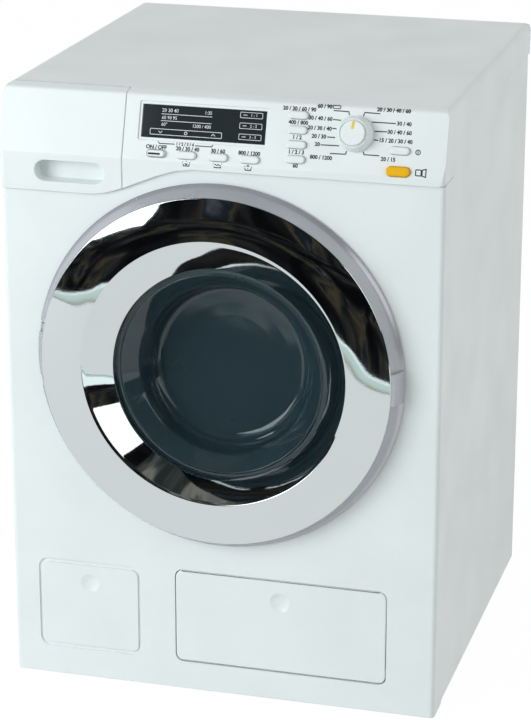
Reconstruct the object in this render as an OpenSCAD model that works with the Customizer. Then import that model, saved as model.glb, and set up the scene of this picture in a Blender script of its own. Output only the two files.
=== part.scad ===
// Toy front-loading washing machine, battery driven, with a turning drum.
// Millimetres. +X is the machine's right seen from the front, +Y runs to its back, +Z is up.
// The origin is the middle of the footprint, on the surface that the machine stands on.

/* [Cabinet] */
// Width over the top cover
body_w = 186; // [180:1:192]
// Depth from the lower front panel to the back of the top cover
body_d = 186; // [180:1:192]
// Height of the top face above the floor
body_h = 260; // [256:1:268]
// Wall of every cabinet moulding
wall = 2.4; // [2:0.1:2.8]
// Depth of the front panel's side returns
return_d = 15; // [12:1:18]
// Height of the top cover's side skirt
skirt_h = 13.5; // [11:0.5:15]
// How far the top cover stands proud of the side walls
skirt_proud = 0.5; // [0.3:0.1:1]
// How far the top cover stands proud of the back wall
back_proud = 2; // [1:0.5:3]
// Radius of the upright front corners
front_r = 2; // [1.5:0.5:5]
// Radius of the upright back corners
back_r = 3; // [2.5:0.5:6]
// Radius of the top cover's side and back edges
top_r = 3.5; // [2:0.5:5]
// Width of the visible seam between two mouldings
seam = 0.3; // [0.2:0.05:0.5]

/* [Control band] */
// How far the band stands in front of the lower panel
band_proud = 1.8; // [1:0.2:2.6]
// Height of the crease between the upright and the leaning facet, below the top face
crease_drop = 26.5; // [25:0.5:28]
// Lean of the upper facet from the upright
facet_lean = 17.7; // [14:0.1:20]
// Height of the bevel that leads over to the top face
bevel_h = 1.2; // [0.8:0.1:2]
// Depth of that bevel
bevel_d = 5.2; // [4:0.2:7]
// Lower edge of the band on the right, below the top face
band_drop = 29.3; // [28.5:0.1:30]
// Lower edge of the drawer front on the left, below the top face
drawer_drop = 42.5; // [41:0.5:44]
// Where the rising S curve of the lower edge starts
sweep_x0 = -55; // [-58:0.5:-52]
// Where the S curve has run out into the straight edge
sweep_x1 = -10; // [-14:0.5:-6]

/* [Controls] */
// Length of a push button's cap
key_l = 8.1; // [7:0.1:9]
// Height of a push button's cap
key_h = 3.1; // [2.6:0.1:3.4]
// How far a cap stands out of the facet
key_proud = 1.4; // [1.3:0.1:2]
// Travel of a push button
key_travel = 1.2; // [0.8:0.1:1.2]
// Length of the yellow door button
door_key_l = 9.6; // [9:0.1:10.5]
// Height of the yellow door button
door_key_h = 3.9; // [3.4:0.1:4.2]
// From the side of the top cover to the middle of the power and door buttons
key_side = 18.8; // [18.3:0.1:19.3]
// Radius of the programme knob at its foot
knob_r = 7.2; // [6.5:0.1:7.6]
// Radius of the knob's top
knob_top_r = 5.1; // [4.5:0.1:5.4]
// Height of the knob
knob_h = 5.4; // [4:0.2:7]
// Radius of the knob's shaft
knob_shaft_r = 2.5; // [2:0.1:3]
// Width of the display
display_w = 51.6; // [46:0.2:54]
// Height of the display along the facet
display_h = 13.1; // [11:0.1:14]
// Clear margin of the shallow recess round the display
display_rim = 1.3; // [0.8:0.1:1.5]

/* [Drawer] */
// Width of the drawer front
drawer_w = 52.8; // [50:0.1:54]
// Length of the tray that stays in its housing when the drawer is out
tray_stay = 26; // [20:1:30]
// Width of the tray
tray_w = 40; // [36:1:41]
// Depth of the tray
tray_h = 24; // [20:0.5:25]
// Wall of the tray
tray_t = 1.6; // [1.2:0.1:2]
// Travel of the drawer
drawer_travel = 38; // [30:1:40]
// Length of the finger recess
grip_l = 30; // [26:1:32]
// Height of the finger recess
grip_h = 8.8; // [7:0.2:9.4]
// Depth of the finger recess
grip_d = 7; // [5:0.5:8]

/* [Door] */
// Gap between the door and the control band
door_gap = 5.2; // [4.8:0.1:6]
// Least distance from the door's edge to the side of the cabinet
door_side = 14; // [13.5:0.5:16]
// Gap between the service flap and the door
flap_gap = 13.7; // [12.5:0.1:14.5]
// Width of the door's flared rim outside the chrome ring
rim_w = 4.1; // [3.8:0.1:4.4]
// Width of the chrome ring's outer slope, from its edge to the ridge
slope_w = 18.1; // [16:0.1:19]
// Width of the chrome funnel, from the ridge to the window
funnel_w = 10.8; // [10:0.1:12]
// Height of the ridge in front of the panel
ridge_h = 10.6; // [9.5:0.1:12]
// Height of the chrome ring's outer edge in front of the panel
chrome_h = 8.6; // [8:0.1:9]
// Thickness of the chromed moulding
chrome_t = 1.6; // [1.4:0.1:1.9]
// How far the window's centre lies below the door's centre
window_drop = 3.5; // [2.5:0.1:4]
// Depth of the window bowl behind the front panel
bowl_depth = 24; // [20:0.5:26]
// Wall of the window bowl
bowl_t = 1.5; // [1.2:0.1:1.8]
// How far the door laps over the front panel outside the porthole
lap_w = 15.5; // [15:0.1:16]
// Distance of the hinge line from the door's edge
hinge_in = 4.5; // [4.4:0.1:4.8]
// Height of the hinge line in front of the panel
hinge_h = 2.6; // [2.5:0.1:2.7]
// Radius of the hinge pin
hinge_pin_r = 1; // [0.9:0.05:1]
// Height of the grip block on the door's rim
grip_block_h = 13.5; // [10:0.5:16]

/* [Drum and tub] */
// How much smaller the tub's radius is than the door's
tub_in = 4.5; // [4:0.5:6]
// Wall of the tub
tub_t = 2.2; // [1.8:0.1:2.6]
// Depth kept behind and before the tub for the drive and the front panel
drive_room = 73; // [70:1:80]
// Running gap between the drum and the tub
drum_gap = 2.3; // [2:0.1:3]
// Wall of the drum
drum_t = 1.8; // [1.5:0.1:2.2]
// How much smaller the drum's mouth is than the porthole, in radius
mouth_in = 9; // [7:0.5:11]
// Radius of the drum's shaft
shaft_r = 4; // [3:0.1:5]
// Radius of one hole in the drum
hole_r = 1.8; // [1.2:0.1:2.4]
// Holes in one ring round the drum
hole_count = 24; // [12:1:30]
// Rings of holes along the drum
hole_rows = 4; // [2:1:5]
// Lifter ribs inside the drum
lifter_count = 3; // [2:1:5]
// Height of a lifter rib
lifter_h = 10; // [6:0.5:14]

/* [Gear train] */
// Module of all gears
gear_m = 1; // [0.9:0.02:1.02]
// Teeth of the drum gear
drum_teeth = 64; // [56:2:66]
// Teeth of the idler's small wheel
idler_small = 16; // [16:2:20]
// Teeth of the idler's large wheel
idler_large = 40; // [34:2:42]
// Teeth of the motor pinion
pinion_teeth = 14; // [14:1:16]
// Face width of each gear
gear_w = 4; // [3:0.5:4.5]
// Play between meshing teeth
backlash = 0.2; // [0.15:0.05:0.3]
// Radius of the motor
motor_r = 10; // [9:0.5:11]
// Length of the motor
motor_l = 25; // [20:1:30]

/* [Battery box] */
// Radius of one cell
cell_r = 13.1; // [12:0.1:13.3]
// Length of one cell
cell_l = 50; // [46:0.5:51]
// Wall of the battery box
box_t = 2; // [1.6:0.1:2.4]

/* [Service flap] */
// Width of the flap
flap_w = 91.9; // [86:0.1:94]
// Height of the flap
flap_h = 42.1; // [40:0.1:43]
// Height of the flap's lower edge above the floor
flap_z = 12.7; // [12:0.1:14]
// Distance of the flap's middle from the machine's middle
flap_x = 25.95; // [25:0.05:27]
// Corner radius of both flaps
flap_r = 3.5; // [2:0.5:5]
// Width of the moulded panel on the left
blind_w = 43; // [38:0.5:45]
// Distance of the moulded panel's middle from the machine's middle
blind_x = -58.5; // [-60:0.5:-58]
// Radius of the thumb dimples
dimple_r = 4.5; // [3.5:0.1:5.5]
// Depth of the thumb dimples
dimple_d = 1.1; // [0.8:0.1:1.4]
// Depth of the recess behind the flap
recess_d = 28; // [24:1:32]

/* [Fits] */
// Radial clearance of a running fit
run_fit = 0.08; // [0.04:0.01:0.1]
// Gap round a push button's cap
key_fit = 0.15; // [0.1:0.05:0.2]
// Gap between seated mouldings
seat = 0.2; // [0.1:0.05:0.3]

/* [Hidden] */
$fn = 96;

// Planes of the cabinet
y_front = -body_d / 2;
y_back = body_d / 2;
side_x = body_w / 2;
shell_x = side_x - skirt_proud;
shell_back = y_back - back_proud;
skirt_z = body_h - skirt_h;
crease_z = body_h - crease_drop;
band_z = body_h - band_drop;
drawer_z = body_h - drawer_drop;
band_y = y_front - band_proud;
facet_top_z = body_h - bevel_h;
facet_top_y = band_y + (facet_top_z - crease_z) * tan(facet_lean);
bevel_y = facet_top_y + bevel_d;
gap_x = -side_x + drawer_w;
return_z = band_z + 0.3;
return_y = y_front + return_d;
diagonal_y = return_y + (skirt_z - return_z) * 1.05;

// Radii of the door, the porthole and the tub
door_r = min((band_z - door_gap - flap_gap - flap_z - flap_h) / 2, side_x - door_side);
door_z = band_z - door_gap - door_r;
chrome_r = door_r - rim_w;
ridge_r = chrome_r - slope_w;
window_r = ridge_r - funnel_w;
porthole_r = door_r - lap_w;
hinge_x = door_r - hinge_in;
tub_r = door_r - tub_in;
tub_l = body_d - drive_room;
mouth_r = porthole_r - mouth_in;

// Levels behind the face of the leaning facet
flange_t = 1;
key_stem = 2;
mat_t = 1;
dome_h = 1.4;
board_t = 1.6;
flange_d = wall + 0.25;
stem_d = flange_d + flange_t + key_stem;
dome_d = stem_d + key_travel + 0.15;
mat_d = dome_d + dome_h;
board_d = mat_d + mat_t + 0.05;
board_z = crease_z + 12.5;

// Places of the controls, across and up: x from the middle, z below the top face
row_x = [-25.6, -12.8, 0.4, 13.5];
row_z = body_h - 23.7;
option_x = 32.2;
option_zs = [for (i = [0 : 3]) body_h - 5.6 - 5.6 * i];
knob_at = [55.9, body_h - 11.3];
knob_groove = 0.3;
shoulder_r = knob_top_r + 0.9;
right_x = side_x - key_side;
power_z = body_h - 16.5;
door_key_z = body_h - 24.3;
display_at = [-6.9, body_h - 11.3];

// Door, drum and gear places along Y, measured from the front panel
door_back = 0.3;
window_z = door_z - window_drop;
chrome_foot = -0.4;
flange_y = 2;
back_ring_r = porthole_r - 1.5;
bowl_flange_r = window_r + 4;
lug_z = 12;
lug_w = 4;
hinge_half = 17;
groove_half = 24;
swing_fit = 0.4;
hook_x = hinge_x;
hook_w = 3;
neck_y = 8;
neck_r = porthole_r + 2.2;
tub_y = 13;
drum_r = tub_r - tub_t - drum_gap;
drum_y = tub_y + tub_t + 1.5;
drum_end = tub_y + tub_l - tub_t - 3;
tub_end = tub_y + tub_l;
bush_r = shaft_r + 4;
plane_a = tub_end + 4;
plane_b = plane_a + gear_w + 1.5;
bracket_y = plane_b + gear_w + 1.5;
bracket_t = 2.5;
idler_z = door_z + gear_m * (drum_teeth + idler_small) / 2;
motor_z = idler_z + gear_m * (idler_large + pinion_teeth) / 2;
leg_r = gear_m * (drum_teeth + 2) / 2 + 13;
bracket_half = leg_r * cos(45) + 5.5;
idler_pin_r = 1.5;
motor_shaft_r = 1;

// Drawer channel
tray_l = drawer_travel + tray_stay;
tray_x = -side_x + drawer_w / 2 + 1.2;
tray_z = drawer_z + 4;
channel_y = y_front + 14;
channel_end = y_front + tray_l + 8;
spout_x = tray_x + 8;
spout_y = y_front + 46;
spout_r = 5;

// Battery box and rear wall
cell_pitch = 2 * cell_r + 1;
battery_w = 2 * cell_l + 8 + 2 * box_t;
battery_h = 2 * cell_pitch + 2 * box_t;
battery_z = 7.5;
battery_d = 2 * cell_r + 1 + box_t;
rear_in = shell_back - wall;
battery_y = rear_in - seat - battery_d;
cell_y = battery_y + box_t + cell_r + 0.5;
cell_zs = [for (i = [0, 1]) battery_z + box_t + cell_pitch * (i + 0.5)];
cover_lap = 5;
screw_xs = [8 - shell_x, shell_x - 8];
screw_ys = [y_front + 26, y_back - 18];

// Flap and drain
flap_lo = flap_x - flap_w / 2;
flap_hi = flap_x + flap_w / 2;
flap_axis_y = y_front + 1.7;
flap_axis_z = flap_z + 6.5;
flap_pin_r = 1;
drain_x = 8;
drain_z = flap_z + 21.3;
drain_y = y_front + 58;
nozzle_r = 4;
hose_r = 5;
hose_bore = 3.5;
blind_h = 37.7;
blind_z = 14.3;
dimple_drop = 10;

// Latch
slider_y = y_front + wall + 0.3;
slider_t = 2;
slider_w = 8;
bar_x = hook_x + hook_w / 2 + 0.8;
bar_w = 4;
slider_lo = door_z - 11;
spring_h = 11;
spring_r = 1.8;

// ---- Outline helpers ----

function unit(v) = v / norm(v);

// Points of one rounded corner b between its neighbours a and c
function corner(a, b, c, r, n = 6) = r <= 0 ? [b] :
    let (u = unit(a - b), v = unit(c - b), half = acos(u * v) / 2,
         m = b + unit(u + v) * r / sin(half), s = b + u * r / tan(half) - m,
         e = b + v * r / tan(half) - m, a0 = atan2(s.y, s.x),
         turn = (atan2(e.y, e.x) - a0 + 540) % 360 - 180)
    [for (i = [0 : n]) m + r * [cos(a0 + turn * i / n), sin(a0 + turn * i / n)]];

// A closed outline with a radius at each corner
function rounded(pts, rs) = let (k = len(pts))
    [for (i = [0 : k - 1]) each corner(pts[(i + k - 1) % k], pts[i], pts[(i + 1) % k], rs[i])];

// Rectangle from corner lo to corner hi with one radius
function box_outline(lo, hi, r) =
    rounded([lo, [hi.x, lo.y], hi, [lo.x, hi.y]], [r, r, r, r]);

// Smooth step from 0 to 1
function ease(t) = t * t * (3 - 2 * t);

// Lower edge of the control band at x
function edge_z(x) = x < sweep_x0 ? drawer_z : x > sweep_x1 ? band_z :
    drawer_z + (band_z - drawer_z) * ease((x - sweep_x0) / (sweep_x1 - sweep_x0));

// That edge as a row of points, raised by up
function edge_points(x0, x1, up, n = 18) =
    [for (i = [0 : n]) let (x = x0 + (x1 - x0) * i / n) [x, edge_z(x) + up]];

// Extrude a shape drawn in X and Z from y0 to y1
module slab(y0, y1) {
    translate([0, y1, 0]) rotate([90, 0, 0]) linear_extrude(y1 - y0) children();
}

// Extrude a shape drawn in Y and Z from x0 to x1
module across(x0, x1) {
    translate([x0, 0, 0]) rotate([90, 0, 90]) linear_extrude(x1 - x0) children();
}

// Turn a section of [radius, distance behind the panel] about a line along Y
module turned(z, pts) {
    translate([0, y_front, z]) rotate([-90, 0, 0]) rotate_extrude() polygon(pts);
}

// Cylinder along Y
module rod(x, z, r, y0, y1) {
    translate([x, y0, z]) rotate([-90, 0, 0]) cylinder(r = r, h = y1 - y0);
}

// Place things on the leaning facet: local X across, Y up the slope, Z out of the face
module on_facet(x, z) {
    translate([x, band_y + (z - crease_z) * tan(facet_lean), z])
        rotate([90 - facet_lean, 0, 0]) children();
}

// A pill outline
module pill(l, h) {
    square([l - h, h], center = true);
    for (s = [-1, 1]) translate([s * (l - h) / 2, 0]) circle(r = h / 2);
}

// ---- Cabinet ----

// Y of the plane that lies t behind the leaning facet, at height z
function facet_y(z, t) = band_y + t / cos(facet_lean) + (z - crease_z) * tan(facet_lean);

// Height of the crease in the surface that lies t behind the band
function crease_at(t) = crease_z - t * tan(facet_lean / 2);

// Side view of the cabinet head: fascia, bevel, top and side skirt
function head_outline() = rounded(
    [[band_y, return_z], [band_y, crease_z], [facet_top_y, facet_top_z], [bevel_y, body_h],
     [y_back, body_h], [y_back, skirt_z], [diagonal_y, skirt_z], [return_y, return_z]],
    [0, 2.5, 1.5, 3, top_r, 0, 0, 0]);

// Side view of everything that lies more than t inside that outline
function head_cavity(t) =
    [[band_y + t, return_z - 60], [band_y + t, crease_at(t)], [facet_y(body_h - t, t), body_h - t],
     [y_back - t, body_h - t], [y_back - t, return_z - 60]];

// Plan of the cabinet with its rounded upright corners
module plan(x, y0, y1, rf, rb) {
    polygon(rounded([[-x, y0], [x, y0], [x, y1], [-x, y1]], [rf, rf, rb, rb]));
}

// The space that the drawer front fills, with room r round it
module drawer_space(r) {
    t = wall + r;
    across(-side_x - 5, gap_x + r)
        polygon([[band_y - 5, drawer_z - 20], [band_y - 5, body_h + 5], [bevel_y + r, body_h + 5],
                 [bevel_y + r, body_h - t], [facet_y(body_h - t, t), body_h - t],
                 [band_y + t, crease_at(t)], [band_y + t, drawer_z - 20]]);
}

// Hole for a push button through the facet
module key_hole(x, z, l, h) {
    on_facet(x, z) translate([0, 0, -wall - 3]) linear_extrude(wall + 6)
        pill(l + 2 * key_fit, h + 2 * key_fit);
}

module top_cover() {
    color("white") difference() {
        union() {
            intersection() {
                across(-side_x, side_x) polygon(head_outline());
                translate([0, 0, return_z]) linear_extrude(body_h)
                    plan(side_x, band_y, y_back, front_r, back_r);
                slab(band_y, y_back) polygon(rounded([[-side_x, 0], [side_x, 0],
                    [side_x, body_h], [-side_x, body_h]], [0, 0, top_r, top_r]));
            }
            apron();
        }
        difference() {
            across(wall - side_x, side_x - wall) polygon(head_cavity(wall));
            slab(band_y, band_y + wall) polygon(concat([[side_x, return_z + 3], [gap_x, return_z + 3]],
                edge_points(gap_x, side_x, 0)));
        }
        drawer_space(seam);
        for (x = row_x) key_hole(x, row_z, key_l, key_h);
        for (z = option_zs) key_hole(option_x, z, key_l, key_h);
        key_hole(right_x, power_z, key_l, key_h);
        key_hole(right_x, door_key_z, door_key_l, door_key_h);
        on_facet(knob_at.x, knob_at.y) translate([0, 0, -wall - 3])
            cylinder(r = knob_shaft_r + run_fit, h = wall + 6);
        display_cut();
    }
}

// Upright strip of the band that follows the S curve, right of the drawer
module apron() {
    slab(band_y, band_y + wall) polygon(concat(
        [[side_x - front_r, return_z + 0.5], [gap_x + seam, return_z + 0.5]],
        edge_points(gap_x + seam, side_x - front_r, 0)));
}

// Shallow recess round the display and the opening for its lens
module display_cut() {
    on_facet(display_at.x, display_at.y) {
        translate([0, 0, -0.5]) linear_extrude(3) polygon(box_outline(
            -[display_w, display_h] / 2 - [display_rim, display_rim],
            [display_w, display_h] / 2 + [display_rim, display_rim], 0.8));
        translate([0, 0, -wall - 2]) linear_extrude(wall + 4)
            square([display_w + 2 * key_fit, display_h + 2 * key_fit], center = true);
    }
}

module display_window() {
    color("#2d3438") on_facet(display_at.x, display_at.y) {
        translate([0, 0, -1.7]) linear_extrude(1.2) square([display_w, display_h], center = true);
        translate([0, 0, -wall - 1.1]) linear_extrude(1)
            square([display_w + 3, display_h + 1.4], center = true);
        translate([0, 0, -wall - 0.4]) linear_extrude(wall - 1.2)
            square([display_w - 1, display_h - 1], center = true);
    }
}

module housing_shell() {
    color("white") difference() {
        union() {
            difference() {
                linear_extrude(skirt_z - seam)
                    plan(shell_x, return_y + seam, shell_back, 0, back_r);
                translate([0, 0, -1]) linear_extrude(body_h)
                    plan(shell_x - wall, return_y - 5, shell_back - wall, 0, back_r - wall);
            }
            difference() {
                translate([0, 0, skirt_z - 6]) linear_extrude(9.5)
                    plan(side_x - wall - seat, diagonal_y + 6, y_back - wall - seat, 0, 3);
                translate([0, 0, skirt_z - 7]) linear_extrude(11)
                    plan(shell_x - wall - 1.5, return_y - 5, shell_back - wall - 0.5, 0, 2);
            }
            for (x = screw_xs, y = screw_ys) screw_post(x, y);
        }
        across(-body_w, body_w) polygon([[return_y - 9, return_z - seam], [return_y, return_z - seam],
            [diagonal_y, skirt_z - seam], [diagonal_y + 1, skirt_z + 9], [return_y - 9, skirt_z + 9]]);
        for (x = screw_xs, y = screw_ys) translate([x, y, 0]) cylinder(r = 1.3, h = 30);
        battery_mouth(0);
        speaker_holes();
    }
}

// Post for a base screw, tied to the side wall
module screw_post(x, y) {
    s = sign(x);
    translate([x, y, 7]) cylinder(r = 3.5, h = 16);
    translate([s > 0 ? x : -shell_x + 1, y - 1.5, 7]) cube([shell_x - 1 - abs(x), 3, 16]);
}

// Opening of the battery box in the rear wall, grown by g
module battery_mouth(g) {
    slab(shell_back - wall - 1, shell_back + 1) polygon(box_outline(
        [-battery_w / 2 + box_t - g, battery_z + box_t - g],
        [battery_w / 2 - box_t + g, battery_z + battery_h - box_t + g], 3));
}

speaker_at = [side_x - 40.5, body_h - 48];
speaker_r = 15;
module speaker_holes() {
    for (ring = [0 : 2], i = [0 : max(0, ring * 6 - 1)])
        rod(speaker_at.x + 4.4 * ring * cos(60 * i / max(1, ring)),
            speaker_at.y + 4.4 * ring * sin(60 * i / max(1, ring)), 1.1,
            shell_back - wall - 1, shell_back + 1);
}

module speaker() {
    color("#303030") {
        rod(speaker_at.x, speaker_at.y, speaker_r, rear_in - seat - 2, rear_in - seat);
        rod(speaker_at.x, speaker_at.y, speaker_r * 0.62, rear_in - 7, rear_in - 1);
    }
}

module front_panel() {
    color("white") difference() {
        union() {
            difference() {
                linear_extrude(return_z - seam) plan(side_x, y_front, return_y, front_r, 0);
                translate([0, 0, -1]) linear_extrude(body_h)
                    plan(side_x - wall, y_front + wall, return_y + 1, front_r - wall, 0);
            }
            turned(door_z, [[neck_r, wall - 0.1], [neck_r, neck_y], [porthole_r, neck_y],
                            [porthole_r, wall - 0.1]]);
            turned(door_z, [[door_r + 0.4, 0.1], [door_r + 0.4, -0.7], [door_r + 1.2, -0.9],
                            [door_r + 3, -0.5], [door_r + 4.6, 0.1]]);
            hinge_pad();
            slider_rails();
            for (s = [-1, 1]) flap_boss(s, 0);
        }
        for (s = [-1, 1]) flap_pivot(s, flap_pin_r + run_fit, 3.1);
        slab(band_y - 1, y_front + wall + 0.1) polygon(concat(
            [[side_x + 1, body_h], [-side_x - 1, body_h]],
            edge_points(-side_x - 1, side_x + 1, -seam, 40)));
        rod(0, door_z, porthole_r, y_front - 2, y_front + neck_y + 1);
        hinge_groove();
        slab(y_front - 1, y_front + wall + 1) polygon(box_outline(
            [flap_lo - seam, flap_z - seam], [flap_hi + seam, flap_z + flap_h + seam], flap_r));
        blind_flap_groove();
        translate([hook_x - hook_w / 2 - 0.8, y_front - 1, door_z - 5.5])
            cube([hook_w + 1.6, wall + 2, 10]);
    }
    color("white") for (s = [-1, 1]) hinge_lug(door_z + s * lug_z);
}

// Moulded groove and dimple that mimic a second flap
module blind_flap_groove() {
    lo = [blind_x - blind_w / 2, blind_z];
    hi = [blind_x + blind_w / 2, blind_z + blind_h];
    difference() {
        slab(y_front - 1, y_front + 0.7) polygon(box_outline(lo - [1.7, 1.7], hi + [1.7, 1.7], 4.5));
        slab(y_front - 2, y_front + 2) polygon(box_outline(lo, hi, 3));
    }
    dimple(blind_x, hi.y - 8, y_front);
}

// Ball-shaped thumb dimple sunk into a face at y
module dimple(x, z, y) {
    ball_r = (dimple_r * dimple_r + dimple_d * dimple_d) / (2 * dimple_d);
    translate([x, y + dimple_d - ball_r, z]) sphere(r = ball_r);
}

// Thickened patch of the panel behind the hinge
module hinge_pad() {
    translate([-hinge_x - 8, y_front + 1, door_z - 26]) cube([8.5, 5, 52]);
}

// How far the door's edge reaches from the hinge line, at height h from the door's middle
function edge_reach(h) = norm([sqrt(door_r * door_r - h * h) - hinge_x, hinge_h - door_back - 0.6]);

// Hollow that the door's round edge turns into, hidden behind the closed door
module hinge_groove() {
    steps = 8;
    translate([-hinge_x, y_front - hinge_h, door_z]) rotate_extrude() polygon(concat(
        [[0, -groove_half]],
        [for (i = [-steps : steps]) let (h = groove_half * i / steps) [edge_reach(h) + swing_fit, h]],
        [[0, groove_half]]));
}

// Lug on the panel that carries the hinge pin
module hinge_lug(z) {
    translate([-hinge_x, y_front - hinge_h, z - lug_w / 2]) difference() {
        union() {
            cylinder(r = 1.8, h = lug_w);
            translate([-0.9, 0, 0]) cube([1.8, hinge_h + 4.4, lug_w]);
        }
        translate([0, 0, -1]) cylinder(r = hinge_pin_r + run_fit, h = lug_w + 2);
    }
}

// Two rails and a shelf that guide the latch slider and hold its spring
module slider_rails() {
    rail_z = slider_lo - spring_h - 2;
    for (x = [hook_x - slider_w / 2 - 2, bar_x + bar_w + 0.4]) translate([x, y_front + wall - 0.1, rail_z])
        cube([1.6, slider_t + 0.5, 60]);
    translate([hook_x - slider_w / 2 - 2, y_front + wall - 0.1, rail_z])
        cube([slider_w / 2 + bar_x - hook_x + bar_w + 4, 7, 2]);
}

module base_plate() {
    color("white") difference() {
        union() {
            linear_extrude(wall)
                plan(shell_x - wall - seat, y_front + wall + seat, rear_in - seat, 1, back_r - wall);
            for (x = screw_xs, y = screw_ys) translate([x, y, 0]) cylinder(r = 4.5, h = 7 - seat);
        }
        for (x = screw_xs, y = screw_ys) translate([x, y, -1]) {
            cylinder(r = 1.7, h = 12);
            cylinder(r = 3.2, h = 4);
        }
    }
}

module housing_screws() {
    color("silver") for (x = screw_xs, y = screw_ys) translate([x, y, 1.2]) {
        cylinder(r = 2.9, h = 1.8);
        cylinder(r = 1.25, h = 18);
    }
}

// ---- Electronics ----

module circuit_board() {
    color("#1d6b3a") on_facet(0, board_z) translate([0, 0, -board_d - board_t]) difference() {
        translate([-34, -11, 0]) cube([118, 22, board_t]);
        translate([right_x - 8, -12, -1]) cube([20, 5, board_t + 2]);
    }
    color("#303030") on_facet(0, board_z) translate([0, -2, -board_d - board_t - 2]) {
        translate([-14, 0, 0]) cube([14, 8, 2]);
        translate([14, 0, 0]) cube([9, 6, 2]);
    }
}

// Places of the rubber domes: x, z
keys = concat([for (x = row_x) [x, row_z]], [for (z = option_zs) [option_x, z]],
              [[right_x, power_z]]);

module key_mat() {
    color("#d8d8d0") {
        on_facet(0, row_z) translate([-30, -2.2, -board_d]) cube([48, 4.4, mat_t]);
        on_facet(option_x, board_z) translate([-3, -11, -board_d]) cube([6, 22, mat_t]);
        on_facet(right_x, power_z) translate([-4, -2, -board_d]) cube([8, 4, mat_t]);
        for (k = keys) on_facet(k.x, k.y) translate([0, 0, -mat_d - 0.3])
            cylinder(r1 = 1.9, r2 = 1.4, h = dome_h + 0.3);
    }
}

module selector_switch() {
    color("#404448") on_facet(knob_at.x, knob_at.y) translate([0, 0, -board_d]) difference() {
        translate([-6, -6, 0]) cube([12, 12, board_d - wall - 0.3]);
        translate([0, 0, 1]) cylinder(r = knob_shaft_r + run_fit, h = board_d);
    }
}

// ---- Push buttons ----

module key(x, z, l, h) {
    on_facet(x, z) {
        translate([0, 0, -flange_d]) linear_extrude(flange_d + key_proud) pill(l, h);
        translate([0, 0, -flange_d - flange_t]) linear_extrude(flange_t) pill(l + 1.2, h + 1.2);
        translate([0, 0, -stem_d]) cylinder(r = 1.2, h = key_stem + 0.5);
    }
}

module row_button(i) {
    color("whitesmoke") key(row_x[i], row_z, key_l, key_h);
}

module option_button(i) {
    color("whitesmoke") key(option_x, option_zs[i], key_l, key_h);
}

module power_button() {
    color("whitesmoke") key(right_x, power_z, key_l, key_h);
}

door_stem = 8;
module door_button() {
    color("#ffbe00") {
        key(right_x, door_key_z, door_key_l, door_key_h);
        on_facet(right_x, door_key_z) translate([0, 0, -door_stem]) cylinder(r = 1.6, h = door_stem - 1);
    }
}

module programme_knob() {
    color("white") on_facet(knob_at.x, knob_at.y) {
        translate([0, 0, 0.3]) rotate_extrude() polygon([[0, 0], [knob_r, 0], [knob_r, 1],
            [knob_r - 0.4, 2], [shoulder_r, knob_h - 0.9], [shoulder_r - 0.3, knob_h - 0.7],
            [knob_top_r + knob_groove, knob_h - 0.7], [knob_top_r + knob_groove, knob_h - 1.1],
            [knob_top_r, knob_h - 1.1], [knob_top_r, knob_h - 0.3], [knob_top_r - 0.3, knob_h], [0, knob_h]]);
        translate([0, 0, -board_d + 1.5]) cylinder(r = knob_shaft_r, h = board_d);
    }
}

// ---- Drawer ----

module drawer_front() {
    color("white") difference() {
        union() {
            intersection() {
                difference() {
                    across(-side_x, gap_x) polygon(head_profile());
                    across(-side_x - 1, gap_x + 1) polygon(head_cavity(wall));
                }
                slab(band_y, bevel_y) polygon(concat(rounded([[gap_x, body_h], [-side_x, body_h],
                    [-side_x, drawer_z]], [0, top_r, 0]), edge_points(sweep_x0, gap_x, 0, 8)));
                linear_extrude(body_h + 1) plan(side_x, band_y, y_back, front_r, 0);
            }
            translate([grip_x - grip_l / 2 - wall, band_y + 1, grip_z - grip_h / 2 - 1.6])
                cube([grip_l + 2 * wall, grip_d + 0.6, grip_h + 3.2]);
        }
        translate([grip_x, band_y - 1, grip_z]) rotate([-90, 0, 0]) linear_extrude(grip_d + 1)
            pill(grip_l, grip_h);
    }
}
grip_x = -62.8;
grip_z = body_h - 33.9;

// Outer side view of the drawer front
function head_profile() = rounded([[band_y, drawer_z - 0.01], [band_y, crease_z],
    [facet_top_y, facet_top_z], [bevel_y, body_h], [y_back, body_h], [y_back, drawer_z - 0.01]],
    [0, 2.5, 1.5, 3, 0, 0]);

module drawer_tray() {
    y0 = band_y + grip_d + 1.6;
    pocket_w = (tray_w - 3 * tray_t) / 2;
    color("#dfe6e8") difference() {
        translate([tray_x - tray_w / 2, y0, tray_z]) cube([tray_w, tray_l - 8, tray_h]);
        for (s = [0, 1]) translate([tray_x - tray_w / 2 + tray_t + s * (tray_w - tray_t) / 2,
            y0 + tray_t, tray_z + tray_t]) cube([pocket_w, tray_l - 8 - 2 * tray_t, tray_h]);
        translate([spout_x - 3, spout_y - 12, tray_z - 1]) cube([6, 20, tray_t + 2]);
    }
}

module drawer_housing() {
    lo_x = tray_x - tray_w / 2 - 0.4;
    hi_x = tray_x + tray_w / 2 + 0.4;
    color("#dfe6e8") difference() {
        union() {
            translate([lo_x - 1.6, channel_y, tray_z - 2])
                cube([hi_x - lo_x + 3.2, channel_end - channel_y, body_h - wall - tray_z + 2 - seat]);
            translate([spout_x, spout_y, door_z + tub_top(spout_x) + 0.6])
                cylinder(r = spout_r, h = tray_z - door_z - tub_top(spout_x) - 1);
        }
        translate([lo_x, channel_y - 1, tray_z - 0.4])
            cube([hi_x - lo_x, channel_end - channel_y - 0.6, body_h]);
        translate([spout_x, spout_y, door_z]) cylinder(r = spout_r - 1.2, h = body_h);
    }
}

// Height of the tub's outside above its axis at x
function tub_top(x) = sqrt(tub_r * tub_r - x * x);

// ---- Tub, drum and drive ----

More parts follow.
